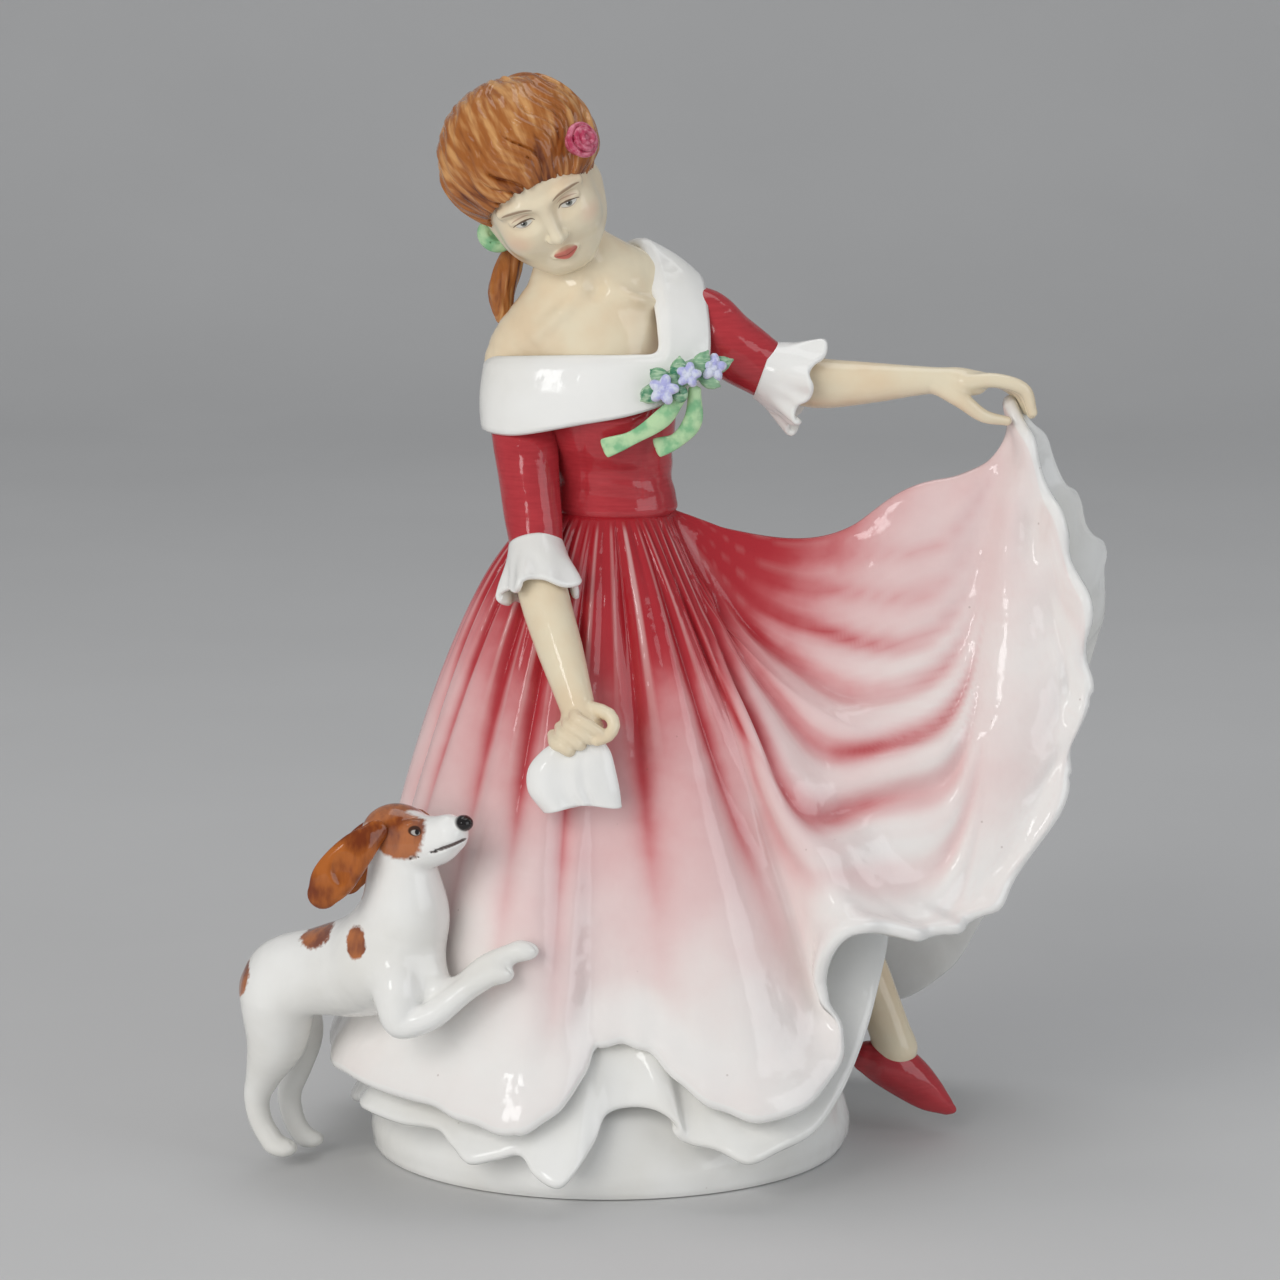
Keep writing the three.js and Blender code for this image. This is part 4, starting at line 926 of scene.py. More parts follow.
def facePaint(tree, point):
    color = skinTone(tree, point)
    eyeX, eyeZ = head["eyeX"], head["eyeZ"]

    def spot(middle, reach, edge, over, strength):
        nonlocal color
        terms = dict(Point=point, Middle=middle, Reach=reach, Edge=edge, Ragged=0.0)
        color = dab(tree, use(tree, spotGroup, **terms)["Mask"], strength, color, over)

    def arc(x, z, length, slope, bow, width, edge, over, strength):
        nonlocal color
        terms = dict(Point=point, X=x, Z=z, Length=length, Slope=slope, Bow=bow, Width=width, Edge=edge)
        color = dab(tree, use(tree, arcGroup, **terms)["Mask"], strength, color, over)

    for side in (-1, 1):
        x = side * eyeX
        spot((side * 6.3, -8.4, -3.6), (3.6, 4.5, 3.0), 0.95, blush, 0.5)
        spot((x, -10.5, eyeZ + 1.5), (2.6, 3.0, 1.2), 0.8, lidShade, 0.35)
        spot((x, -10.6, eyeZ - 0.15), (1.75, 3.0, 0.72), 0.25, eyeWhite, 0.95)
        spot((x, -10.8, eyeZ - 0.05), (0.72, 3.0, 0.7), 0.25, irisGrey, 0.92)
        spot((x, -10.8, eyeZ - 0.02), (0.32, 3.0, 0.34), 0.3, pupilBlack, 1.0)
        spot((x - 0.22, -10.8, eyeZ + 0.2), (0.16, 3.0, 0.15), 0.4, glint, 1.0)
        arc(x, eyeZ + 0.62, 2.15, side * -0.04, -0.85, 0.24, 0.4, lashBrown, 0.95)
        arc(x, eyeZ - 0.78, 1.7, side * 0.03, 0.5, 0.1, 0.6, lowerLash, 0.55)
        arc(x, eyeZ + 1.5, 2.1, side * -0.05, -0.7, 0.13, 0.7, lidLine, 0.55)
        arc(side * 4.9, head["browZ"], 2.9, side * -0.05, -0.9, 0.3, 0.6, browBrown, 0.75)
        spot((side * 0.8, -13.2, head["noseZ"] - 1.15), (0.4, 0.9, 0.24), 0.6, nostrilShade, 0.6)
    arc(0.0, head["mouthZ"] + 0.15, 2.3, 0.0, 0.0, 0.95, 0.35, coral, 0.85)
    arc(0.0, head["mouthZ"] - 0.45, 1.9, 0.0, 0.4, 0.6, 0.35, lowerCoral, 0.8)
    arc(0.0, head["mouthZ"] - 0.1, 2.2, 0.0, 0.1, 0.1, 0.7, lipLine, 0.7)
    return color


skinGlaze = glazed("flesh glaze", skinTone, 0.2)
faceGlaze = glazed("painted face glaze", facePaint, 0.12, (0.16, 0.24))


def buildHead():
    clay = Clay((-13, -16.5, -28), (13, 16, 17.5), 0.21)
    eyeX, eyeZ, deep, eyeRadius = head["eyeX"], head["eyeZ"], head["eyeDeep"], head["eyeRadius"]
    noseZ, mouthZ = head["noseZ"], head["mouthZ"]
    clay.ball((0, 1.6, 3), (11, 12.6, 13), 0.5)
    clay.ball((0, -2.8, -3), (9.3, 9.0, 11.4), 3.0)
    clay.ball((0, -6.3, -11.0), (3.9, 4.3, 3.5), 3.5)  # chin
    for side in (-1, 1):
        jaw = [(side * 8.3, 0.5, -4.5, 2.4), (side * 6.6, -3.2, -9.0, 2.3), (side * 2.6, -6.8, -12.2, 2.0)]
        clay.limb(jaw, 4.5)
        clay.ball((side * 4.9, -7.7, -4.2), (3.5, 3.0, 3.6), 4.0)  # cheek
    clay.soften(14)
    for side in (-1, 1):
        brow = [(side * 1.4, -10.9, 2.7, 0.8), (side * 4.6, -10.5, 3.5, 1.0), (side * 7.6, -8.4, 2.6, 0.8)]
        clay.limb(brow, 1.4)
        clay.ball((side * 4.5, -12.9, eyeZ + 0.3), (3.1, 2.7, 1.9), 1.6, True)  # socket
    clay.limb([(0, -10.9, 2.6, 0.9), (0, -11.9, -0.5, 0.85), (0, -13.3, noseZ, 1.05)], 1.5)
    clay.ball((0, -13.4, noseZ - 0.1), (1.15, 1.1, 1.0), 0.8)
    for side in (-1, 1):
        clay.ball((side * 1.25, -12.4, noseZ - 0.45), (0.85, 1.1, 0.75), 0.6)  # nostril wing
        clay.ball((side * 0.7, -13.15, noseZ - 1.25), (0.35, 0.45, 0.3), 0.3, True)
        clay.ball((side * eyeX, deep, eyeZ), (eyeRadius,) * 3, 0.25)

        def onEye(dx, dz, out):  # a point just off the eyeball
            back = math.sqrt(max((eyeRadius + out) ** 2 - dx * dx - dz * dz, 0.2))
            return side * eyeX + dx, deep - back, eyeZ + dz

        lash = ((-2.1, -0.05), (-0.9, 0.6), (0.9, 0.6), (2.1, -0.05))
        upperLid = ((-2.0, 0.5), (0, 1.35), (2.0, 0.5))
        lowerLid = ((-1.8, -0.5), (0, -1.0), (1.8, -0.5))
        lids = (lash, 0.1, 0.27, 0.2), (upperLid, 0.0, 0.5, 0.5), (lowerLid, 0.05, 0.24, 0.4)
        for line, out, thick, soft in lids:
            clay.stroke([onEye(dx, dz, out) for dx, dz in line], thick, soft)
        upperLip = [(0.2, -12.0, 0.45, 0.5), (1.2, -11.8, 0.42, 0.5), (2.4, -11.15, -0.02, 0.25)]
        clay.limb([(side * x, y, mouthZ + z, thick) for x, y, z, thick in upperLip], 0.7)
    lowerLip = [(-2.1, -11.2, -0.3, 0.3), (0, -11.7, -0.85, 0.65), (2.1, -11.2, -0.3, 0.3)]
    clay.limb([(x, y, mouthZ + z, thick) for x, y, z, thick in lowerLip], 0.6)
    parting = [(-2.4, -11.5, mouthZ - 0.05), (0, -12.7, mouthZ - 0.1), (2.4, -11.5, mouthZ - 0.05)]
    clay.stroke(parting, 0.1, 0.25, True)
    clay.stroke([(0, -12.9, mouthZ + 1.9), (0, -12.9, mouthZ + 1.1)], 0.3, 0.5, True)  # over the lip
    clay.ball((0, -12.0, mouthZ - 2.2), (1.9, 0.7, 0.6), 0.9, True)  # under the lip
    clay.stroke(intoHead(neckLine), neckRadii, 3.2, steps=24)
    clay.fire("head_and_neck", faceGlaze, ["head"], "flesh_glaze", place=headPlace)


buildHead()

# hair
hair = {
    "middle": (-0.6, 3.4, 5.0),
    "radii": (13.3, 14.0, 12.6),
    "tilt": 41.0,
    "line": -3.2,  # the hairline's place along the tilt
    "knot": (-1.7, 15.8, 11.8),
    "locks": 84,
    "strands": 110,
    "seed": 11,
}
auburn = (0.36, 0.12, 0.026, 1)
darkAuburn = (0.11, 0.02, 0.004, 1)
honey = (0.62, 0.32, 0.12, 1)


def hairPaint(tree, point):  # brush strokes that follow the comb, and painted shade that darkens the grooves between strands
    comb = addNode(tree, "ShaderNodeCombineXYZ")
    feed(tree, comb.inputs["X"], attribute(tree, "across"))
    feed(tree, comb.inputs["Y"], attribute(tree, "along"))
    strand = noise(tree, comb.outputs[0], 1.0, 2.5)
    lock = noise(tree, comb.outputs[0], 0.3, 2.0)
    # painted shade: strands lying low in the grooves are darker, raised strands lighter
    raised = fade(tree, attribute(tree, "lift"), 0.2, 0.9)
    tone = calc(tree, "MULTIPLY_ADD", raised, 0.16, calc(tree, "MULTIPLY", strand, 0.75))
    tone = calc(tree, "MULTIPLY_ADD", lock, 0.8, tone)
    under = mixPaint(tree, fade(tree, tone, 0.58, 0.84), darkAuburn, auburn)
    return mixPaint(tree, fade(tree, tone, 0.84, 1.1), under, honey)


hairGlaze = glazed("auburn glaze", hairPaint, 0.3)


def hairAxes():  # towards the knot, and two directions square to it
    pole = unit((np.array(hair["knot"]) - hair["middle"]) / np.array(hair["radii"]))
    side = unit(np.cross(pole, (1.0, 0, 0)))
    return pole, side, np.cross(pole, side)


def hairLine(turn, count):  # a comb line from the hairline to the knot at the back
    pole, side, other = hairAxes()
    polar = np.radians(np.linspace(14, 178, 200))
    sway = turn + 0.13 * np.sin(3.2 * polar + 2 * turn) + 0.07 * np.sin(8 * polar + 5 * turn)
    ring = np.cos(sway)[:, None] * side + np.sin(sway)[:, None] * other
    ways = np.cos(polar)[:, None] * pole + np.sin(polar)[:, None] * ring
    line = np.array(hair["middle"]) + ways * np.array(hair["radii"])
    tilt = math.radians(hair["tilt"])
    over = line[:, 1] * math.cos(tilt) + line[:, 2] * math.sin(tilt)
    inside = np.nonzero(over < hair["line"])[0]
    last = inside[0] if len(inside) else len(line) - 1
    return curve(line[: max(last, 12)], np.linspace(0, 1, count))


def buildHair():
    clay = Clay((-18, -14, -12), (17, 21, 21.5), 0.22, 1.2)
    middle, radii = np.array(hair["middle"]), np.array(hair["radii"])
    tilt = math.radians(hair["tilt"])
    clay.ball(middle, radii + 0.4, 0.3)
    slope = np.array([0, math.cos(tilt), math.sin(tilt)], np.float32)
    high = clay.low + clay.grain * clay.counts
    clay.work([(clay.low, high, lambda p: p @ slope - hair["line"])], 1.2, True)  # cut along the hairline
    rng = np.random.default_rng(hair["seed"])

    def comb(turn, first, last, height, wave, thick):
        line = hairLine(turn, 40)[first:last]
        t = np.linspace(0, 1, len(line))
        puff = 0.25 + height * np.sin(math.pi * np.clip(t * 1.1, 0, 1))
        puff = puff + wave * np.sin(9 * t + 4 * turn + rng.uniform(0, 2))
        line = line + unit((line - middle) / radii**2) * puff[:, None]
        ends = 0.45 + 0.55 * np.sin(math.pi * np.clip(0.08 + 0.92 * t, 0, 1))
        clay.stroke(line, thick * ends, 0.25, steps=22)

    for turn in roundTurn(hair["locks"]) + rng.uniform(-0.03, 0.03, hair["locks"]):
        comb(turn, 0, 40, 0.9 * rng.uniform(0.3, 1.0), 0.35, rng.uniform(0.75, 1.1))
    for turn in rng.uniform(0, 2 * math.pi, hair["strands"]):  # finer strands over the locks
        first = int(rng.integers(0, 18))
        last = first + int(rng.integers(14, 22))
        comb(turn, first, last, rng.uniform(0.6, 1.0), 0.2, rng.uniform(0.4, 0.6))

    def layers(verts):  # how high a strand lies, and its place across and along the comb
        pole, side, other = hairAxes()
        away = (verts - middle) / radii
        way = unit(away)
        return {
            "lift": (np.linalg.norm(away, axis=1) - 0.985) * 6.1,
            "across": 11 * np.arctan2(way @ other, -(way @ side)),
            "along": 2.2 * np.arccos(np.clip(way @ pole, -1, 1)),
        }

    clay.fire("hair_cap", hairGlaze, ["hair"], "auburn_glaze", layers, headPlace)


buildHair()

# bodice and sleeves; a station is the middle of a section, its half width and its half depth
bodice = {
    "stations": [
        (0.8, 0, -1.2, 11.2, 9.0), (0.8, 0, 0.2, 12.2, 10.0), (0.8, 0, 2.0, 12.0, 9.9),
        (0.8, -0.2, 5.5, 11.3, 9.5), (0.8, -0.6, 10, 11.2, 9.8), (0.5, -2.2, 17, 12.2, 11.4),
        (0.0, -2.4, 21.5, 12.7, 11.8), (-0.5, -1.4, 26, 12.4, 10.6), (-0.8, -0.8, 28, 12.0, 10.0),
    ],
    "columns": 120,
    "rows": 70,
    "seams": (4.25, 5.2, 1.57),  # angles round the body
    "seamWidth": 0.035,
    "seamDepth": 0.22,
    "creaseDepth": 0.16,
}


def buildBodice():
    rings = limbRings(bodice["stations"], bodice["rows"], bodice["columns"], (False, False))
    x, y, z = np.moveaxis(rings, -1, 0)
    slope = 0.45 * (y + 1.5) + 0.3 * np.clip(x - 3, 0, None)  # low in front, high behind
    z += smoothStep(16, 26, z) * slope
    a = roundTurn(bodice["columns"])
    aside = [np.mod(a - at + math.pi, 2 * math.pi) - math.pi for at in bodice["seams"]]
    seams = sum(bump(away, 0, bodice["seamWidth"]) for away in aside)
    creases = np.sin(1.1 * z + 3 * np.cos(a) + 1.5) * smoothStep(1, 6, z) * (1 - smoothStep(9, 16, z))
    rise = bodice["creaseDepth"] * creases - bodice["seamDepth"] * seams * smoothStep(1.5, 4, z)
    skin = closedSkin(rings + outwardNormals(rings) * rise[..., None])
    makePiece("bodice_shell", *skin, [crimsonGlaze], ["bodice"], "crimson_glaze", place=upperPlace)


sleeves = {
    "right": [
        (-16.4, -2.4, 20.6, 6.4, 6.1), (-15.6, -4.6, 16, 6.3, 6), (-14.9, -6.8, 11.8, 6.0, 5.8),
        (-13.8, -11, 2.2, 5.4, 5.3), (-13.2, -14, -4.8, 5.0, 5.0),
    ],
    "left": [
        (13, 2.6, 38, 4.4, 4.2), (17.4, 1.8, 35.6, 5.5, 5.3), (22.6, 0.5, 30.8, 6.1, 5.9),
        (30.0, 0, 25.4, 5.4, 5.3),
    ],
    "rows": 64,
    "columns": 72,
}


def buildSleeve(side):
    rings = limbRings(sleeves[side], sleeves["rows"], sleeves["columns"], (True, False))
    t = np.linspace(0, 1, len(rings))[:, None]
    a = roundTurn(sleeves["columns"])
    pulls = 0.16 * np.sin(9 * t + 2.2 * np.cos(a + 0.8)) + 0.07 * np.sin(17 * t + 3 * np.sin(a))
    skin = closedSkin(rings + outwardNormals(rings) * (pulls * smoothStep(0, 0.2, t))[..., None])
    name, node = side + "_sleeve_tube", side + "_sleeve"
    makePiece(name, *skin, [crimsonGlaze], [node], "crimson_glaze", place=upperPlace)


buildBodice()
for side in ("right", "left"):
    buildSleeve(side)

# bare shoulders; from here on a station is a point and its radius
shoulders = {
    "chest": [(-0.5, -1.5, 25.2, 12.7), (-2.4, -0.8, 32, 13.4), (-4.2, 0.6, 41, 9.4)],
    "chestSquash": (1, 1.38, 1),
    "yoke": [
        (-16.2, -2.4, 20, 5.1), (-16.8, 0, 27.6, 6.1), (-10, 1, 34.6, 7.8), (-0.5, 2, 41.2, 8.2),
        (5, 3, 41.6, 6.4), (10, 3, 38.4, 4.8), (17, 1.4, 34.6, 4.2),
    ],
    "collarBones": (
        [(-13, -6.6, 33.4, 0.5), (-8.5, -8.6, 37.4, 0.9), (-4.4, -6.6, 41, 0.7)],
        [(9, -4.6, 39, 0.5), (4, -7.4, 40.4, 0.9), (0, -6.4, 41.6, 0.7)],
    ),
    "throat": ((-2.2, -9.0, 42.6), (1.6, 2.2, 2.0)),
    "neckGap": 0.05,
}


def buildShoulders():
    clay = Clay((-27, -16, 14), (21, 14, 53), 0.34)
    clay.limb(shoulders["chest"], 2.0, squash=shoulders["chestSquash"])
    clay.limb(shoulders["yoke"], 4.0, steps=24)
    clay.stroke(neckLine[:3], np.array(neckRadii[:3]) - shoulders["neckGap"], 5.0, steps=6)
    for bone in shoulders["collarBones"]:
        clay.limb(bone, 2.2)
    clay.ball(*shoulders["throat"], 2.0, True)
    clay.fire("bare_shoulders", skinGlaze, ["shoulders"], "flesh_glaze", place=upperPlace)


buildShoulders()

# collar
collar = {
    "stations": [  # point on the upper edge, point on the lower edge
        (-22.8, -1, 28.4, -23.4, -1.4, 15), (-21.2, -6.2, 28.8, -22.0, -8.0, 14.9),
        (-16.4, -9.8, 29.2, -17.2, -12.8, 15.1), (-5, -12.6, 29.6, -5, -15.6, 17.4),
        (5.0, -13, 29.9, 5.2, -15.8, 19.4), (10.2, -12.2, 30.6, 12.6, -13.6, 22),
        (10.6, -9.2, 35, 18.6, -9.6, 27), (9.4, -3.8, 42, 19, -2.4, 38), (6.4, 4.4, 50.4, 17.4, 6, 42.6),
        (0, 10, 46.6, 9.6, 13, 29), (-10, 10.8, 38, -7, 13.8, 20.6), (-19.8, 7, 31.6, -20.4, 9.4, 16.4),
    ],
    "middle": (-3.0, 0, 32),
    "thick": 2.3,
    "swell": 0.8,
    "columns": 260,
}


def buildCollar():
    s = np.array(collar["stations"])
    t = np.arange(collar["columns"]) / collar["columns"]
    top, foot = curve(s[:, :3], t, True), curve(s[:, 3:], t, True)
    inward = unit(np.array(collar["middle"]) - (top + foot) / 2)
    down = unit(foot - top)
    thick = collar["thick"]
    half = thick / 2
    edgeTurns = (25, 55, 90, 125, 155)
    section = []
    for share in np.linspace(0.06, 0.94, 12):
        swell = collar["swell"] * math.sin(math.pi * share)
        section.append(top + (foot - top) * share - inward * swell)
    section += rolledEdge(foot - down * half, -inward, down, half, edgeTurns)
    for share in (0.9, 0.65, 0.35, 0.1):
        section.append(top + (foot - top) * share + inward * thick)
    section += rolledEdge(top + down * half + inward * thick, inward, -down, half, edgeTurns)
    rings = np.stack(section, 1)
    columns, rows = rings.shape[:2]
    faces = gridFaces(columns, rows)
    last = (columns - 1) * rows
    faces += [[last + k, last + (k + 1) % rows, (k + 1) % rows, k] for k in range(rows)]
    verts = rings.reshape(-1, 3)
    makePiece("wide_collar", verts, faces, [whiteGlaze], ["collar"], "white_glaze", place=upperPlace)


buildCollar()

# cuffs
cuffs = {
    "right": {
        "from": (-13.2, -13.8, -4.2),
        "to": (-12.0, -19.4, -13.4),
        "top": 5.0,
        "flare": 2.4,
        "waves": 5,
        "length": 9.6,
    },
    "left": {
        "from": (28.8, 0, 26.0),
        "to": (38.4, -0.5, 22.6),
        "top": 5.6,
        "flare": 3.2,
        "waves": 7,
        "length": 8.2,
    },
    "wall": 1.3,
    "rows": 26,
    "columns": 126,
}


def buildCuff(side):
    cuff = cuffs[side]
    start, end = np.array(cuff["from"], float), np.array(cuff["to"], float)
    axis = unit(end - start)
    depthWay = unit(np.array([0, 1.0, 0]) - axis * axis[1])
    widthWay = np.cross(depthWay, axis)
    a = roundTurn(cuffs["columns"])
    spokes = widthWay * np.cos(a)[:, None] + depthWay * np.sin(a)[:, None]
    wave = cuff["waves"] * a + 0.8 * np.sin(2 * a + 1)
    rings = []
    for share in np.linspace(0, 1, cuffs["rows"]):
        frill = smoothStep(0.25, 1, share) * (0.75 * np.cos(wave) + 0.3 * np.cos(2 * wave + 0.7))
        radius = cuff["top"] + 0.5 * math.sin(math.pi * share) + cuff["flare"] * share**1.8 + frill
        along = share * cuff["length"] + 0.9 * smoothStep(0.5, 1, share) * np.sin(wave + 0.4)
        rings.append(start + axis * along[:, None] + spokes * radius[:, None])
    outer = np.array(rings)
    normal = outwardNormals(outer)
    down = unit(np.gradient(outer, axis=0))
    lip = rolledEdge(outer[-1], normal[-1], down[-1], cuffs["wall"] / 2, (35, 70, 110, 145))
    inner = (outer - normal * cuffs["wall"])[-1:8:-2]
    skin = closedSkin(np.concatenate([outer, lip, inner]))
    makePiece(side + "_cuff_frill", *skin, [whiteGlaze], [side + "_cuff"], "white_glaze", place=upperPlace)


for side in ("right", "left"):
    buildCuff(side)

# forearms and hands
rightArm = {
    "forearm": [
        (-13.2, -14.4, -4.6, 4.5), (-11.8, -18.8, -12.4, 4.6), (-8.6, -25, -22, 4.2),
        (-5.6, -30.4, -30.8, 3.3), (-4.8, -31.8, -33.4, 3.2),
    ],
    "palm": ((-4.7, -32.8, -35.2), (4.2, 3.0, 3.4)),
    "knuckle": ((-5.4, -35.6, -32.8), (-1.3, 0.2, -1.5)),  # of the first finger, and the step to the next
    "tip": ((-1.2, -36.2, -35.2), (-1.9, 0, -1.1)),
    "fingerRadii": (1.1, 1.25, 1.2, 1.1, 0.9),
    "thumb": [
        (-2.6, -32.6, -31.6, 1.5), (0.4, -34.2, -32.2, 1.25), (1.3, -35.4, -34.0, 1.15),
        (0.2, -36.2, -35.8, 1.1), (-1.8, -36.8, -36.6, 0.9),
    ],
}


def buildRightArm():
    clay = Clay((-19, -41, -43), (5, -9, -1), 0.26)
    clay.limb(rightArm["forearm"], 0.5, steps=12)
    clay.ball(*rightArm["palm"], 1.4)
    ends = rightArm["knuckle"], rightArm["tip"]
    for k in range(4):  # fingers side by side, from the knuckle down to the thumb's side
        knuckle, tip = (np.array(first) + k * np.array(step) for first, step in ends)
        bend = (knuckle + tip) / 2 + (0, -0.5, 0.2)
        finger = [knuckle + (-0.5, 2.6, 0.9), knuckle, bend, tip, tip + (0.7, 2.0, -0.4)]
        clay.stroke(finger, rightArm["fingerRadii"], 0.25, steps=14)
    clay.limb(rightArm["thumb"], 0.45)
    clay.fire("right_forearm_and_fist", skinGlaze, ["right_forearm"], "flesh_glaze", place=upperPlace)


leftArm = {
    "forearm": [
        (31.5, -0.1, 25.2, 4.4), (38.6, -0.3, 23.6, 4.7), (48, -1, 23.7, 3.9), (59.6, -2, 24.3, 2.55),
        (64.4, -2, 24.2, 2.5), (68.4, -2, 23.9, 2.2),
    ],
    "palm": ((65.6, -1.6, 23.8), (3.6, 3.3, 2.3)),
    "palmTurn": (0, 8, 0),
    "fingertips": [(78.8, -2.8, 18.4), (78.8, -0.6, 17.8), (78.0, 1.2, 18.2), (76.6, 2.8, 19.4)],
    "fingerRadii": (1.5, 1.35, 1.2, 0.9),
    "thumb": [
        (61.6, -3.2, 23.2, 1.7), (65.4, -4.4, 21.0, 1.6), (69.6, -4.4, 18.0, 1.25),
        (74.0, -3.4, 16.9, 0.9),
    ],
}


def buildLeftArm():
    clay = Clay((29, -9, 12), (83, 7, 31), 0.24)
    clay.limb(leftArm["forearm"], 0.5, steps=20)
    clay.ball(*leftArm["palm"], 1.2, turn=leftArm["palmTurn"])
    for k, tip in enumerate(leftArm["fingertips"]):
        y = -3.8 + 1.8 * k
        knuckle = (77.2 - 0.5 * k, y + 0.3, 22.7 - 0.3 * k)
        finger = [(66.2, y, 24.2 - 0.15 * k * k), (72.2, y, 24.5 - 0.25 * k), knuckle, tip]
        clay.stroke(finger, leftArm["fingerRadii"], 0.5, steps=16)
    clay.limb(leftArm["thumb"], 0.9, steps=16)
    clay.fire("left_forearm_and_hand", skinGlaze, ["left_forearm"], "flesh_glaze", place=upperPlace)


buildRightArm()
buildLeftArm()

# handkerchief
handkerchief = {
    "rows": [  # share of the drop, middle, half width, half depth
        (0, -4.6, 3.4, 1.3), (0.2, -5.6, 6.2, 1.9), (0.45, -6.4, 7.9, 2.6), (0.75, -6.0, 8.3, 3.0),
        (1, -4.5, 7.2, 2.8),
    ],
    "top": -36.4,
    "drop": 12.4,
    "depth": -34.0,
    "columns": 140,
    "hollow": ((0.97, -0.3), (0.9, -0.35), (0.6, -0.2), (0.2, -0.1)),  # share of the lower edge, rise
}


def buildHandkerchief():
    plan = np.array(handkerchief["rows"])
    a = roundTurn(handkerchief["columns"])
    u, front = np.cos(a), np.sin(a)
    corner = smoothStep(0.0, 0.3, u) * np.sqrt(np.clip(-front, 0, 1))  # the near corner folds back
    rings = []
    for t in np.linspace(0, 1, 60):
        share, middle, halfWidth, halfDepth = (float(through(plan[:, k], t)) for k in range(4))
        fold = np.cos(3.6 * u + 0.7 - 0.5 * share) + 0.4 * np.cos(6.5 * u + 1.6)
        y = handkerchief["depth"] - 1.6 * share + halfDepth * front
        y = y - 0.9 * share * fold * front + 1.5 * share * corner
        wavy = share**2 * (0.8 * np.cos(2.4 * u + 0.2) + 0.5 * u)
        height = handkerchief["top"] - handkerchief["drop"] * share + wavy
        rings.append(np.stack([middle + halfWidth * u, y, height], -1))
    edge = rings[-1]
    centre = edge.mean(0)
    rings += [centre + (edge - centre) * share + (0, 0, up) for share, up in handkerchief["hollow"]]
    skin = closedSkin(np.array(rings))
    makePiece("held_handkerchief", *skin, [whiteGlaze], ["handkerchief"], "white_glaze", place=upperPlace)


buildHandkerchief()

# posy, bow and ribbon tails
mint = (0.27, 0.47, 0.29, 1)
leafGreen = (0.05, 0.22, 0.12, 1)
leafLight = (0.55, 0.72, 0.5, 1)
ribbonLight = (0.5, 0.72, 0.42, 1)
ribbonDark = (0.22, 0.5, 0.26, 1)
lilac = (0.45, 0.46, 0.78, 1)
paleLilac = (0.7, 0.74, 0.86, 1)


def leafPaint(tree, point):
    streak = fade(tree, noise(tree, point, 1.2, 2.0, (0.4, 1.0, 1.6)), 0.45, 0.65, 0.0, 0.6)
    return mixPaint(tree, streak, twoTone(leafGreen, mint, 0.35, 0.35, 0.62)(tree, point), leafLight)


leafGlaze = glazed("leaf glaze", leafPaint, 0.3)
ribbonGlaze = glazed("pale ribbon glaze", twoTone(ribbonLight, ribbonDark, 0.3, 0.4, 0.65), 0.3)
lilacGlaze = glazed("lilac glaze", twoTone(lilac, paleLilac, 0.7, 0.35, 0.65), 0.3)

posyFlowers = (  # piece, node, middle, size, the way it faces
    ("posy_flower_a", "posy_flower_left", (10.4, -18.0, 24.8), 2.5, (-0.2, -1, 0.15)),
    ("posy_flower_b", "posy_flower_middle", (14.8, -17.4, 27.4), 2.1, (0.1, -1, 0.25)),
    ("posy_flower_c", "posy_flower_right", (19.2, -14.6, 28.4), 2.3, (0.4, -1, 0.2)),
)


def buildFlower(name, node, middle, size, facing):
    middle, facing = np.array(middle, float), unit(np.array(facing, float))
    side, rise = facingAxes(facing)
    clay = Clay(middle - 1.7 * size, middle + 1.7 * size, size * 0.055, 0.8)
    for turn in roundTurn(5) + 0.5:
        way = side * math.cos(turn) + rise * math.sin(turn)
        base, tip = middle + way * size * 0.35, middle + way * size * 0.8 + facing * size * 0.2
        bend = (base + tip) / 2 + facing * size * 0.18
        clay.stroke([base, bend, tip], (size * 0.3, size * 0.42, size * 0.36), 0.12)
    clay.ball(middle + facing * size * 0.42, (size * 0.3,) * 3, 0.1)
    clay.fire(name, lilacGlaze, [node], "lilac_glaze", place=upperPlace)


posyLeaves = {
    "stalk": [
        (7.6, -15.6, 23.6, 1.6), (12, -15.8, 26.2, 2.0), (16.6, -14, 28.2, 2.0), (20.4, -12, 28.4, 1.4),
    ],
    "leaves": [  # foot, tip, half width
        ((10, -15.6, 25), (6.2, -16.6, 22.6), 1.7),
        ((11, -15.8, 26), (8.0, -17.4, 28.4), 1.6),
        ((13, -15.6, 26), (13.2, -17.4, 30.8), 1.7),
        ((16, -14.4, 27.6), (18.4, -15.6, 31.6), 1.6),
        ((18, -13, 28), (23.0, -12.6, 29.6), 1.6),
        ((17, -13.8, 27), (20.6, -15.0, 25.0), 1.5),
        ((13, -15.6, 25), (13.6, -18.0, 22.8), 1.5),
    ],
    "squash": (1, 1.9, 1),
    "vein": 0.16,
}


def buildLeaves():
    clay = Clay((3, -21, 18), (25, -7, 34), 0.15, 0.9)
    clay.limb(posyLeaves["stalk"], 0.5)
    for foot, tip, wide in posyLeaves["leaves"]:
        foot, tip = np.array(foot, float), np.array(tip, float)
        bend = (foot + tip) / 2 + (0, -0.7, 0)
        clay.stroke([foot, bend, tip], (wide * 0.6, wide, 0.25), 0.25, squash=posyLeaves["squash"])
        vein = [foot + (0, -1.5, 0), bend + (0, -1.0, 0), tip + (0, -0.5, 0)]
        clay.stroke(vein, posyLeaves["vein"], 0.15, True)
    clay.fire("posy_leaf_cluster", leafGlaze, ["posy_leaves"], "leaf_glaze", place=upperPlace)


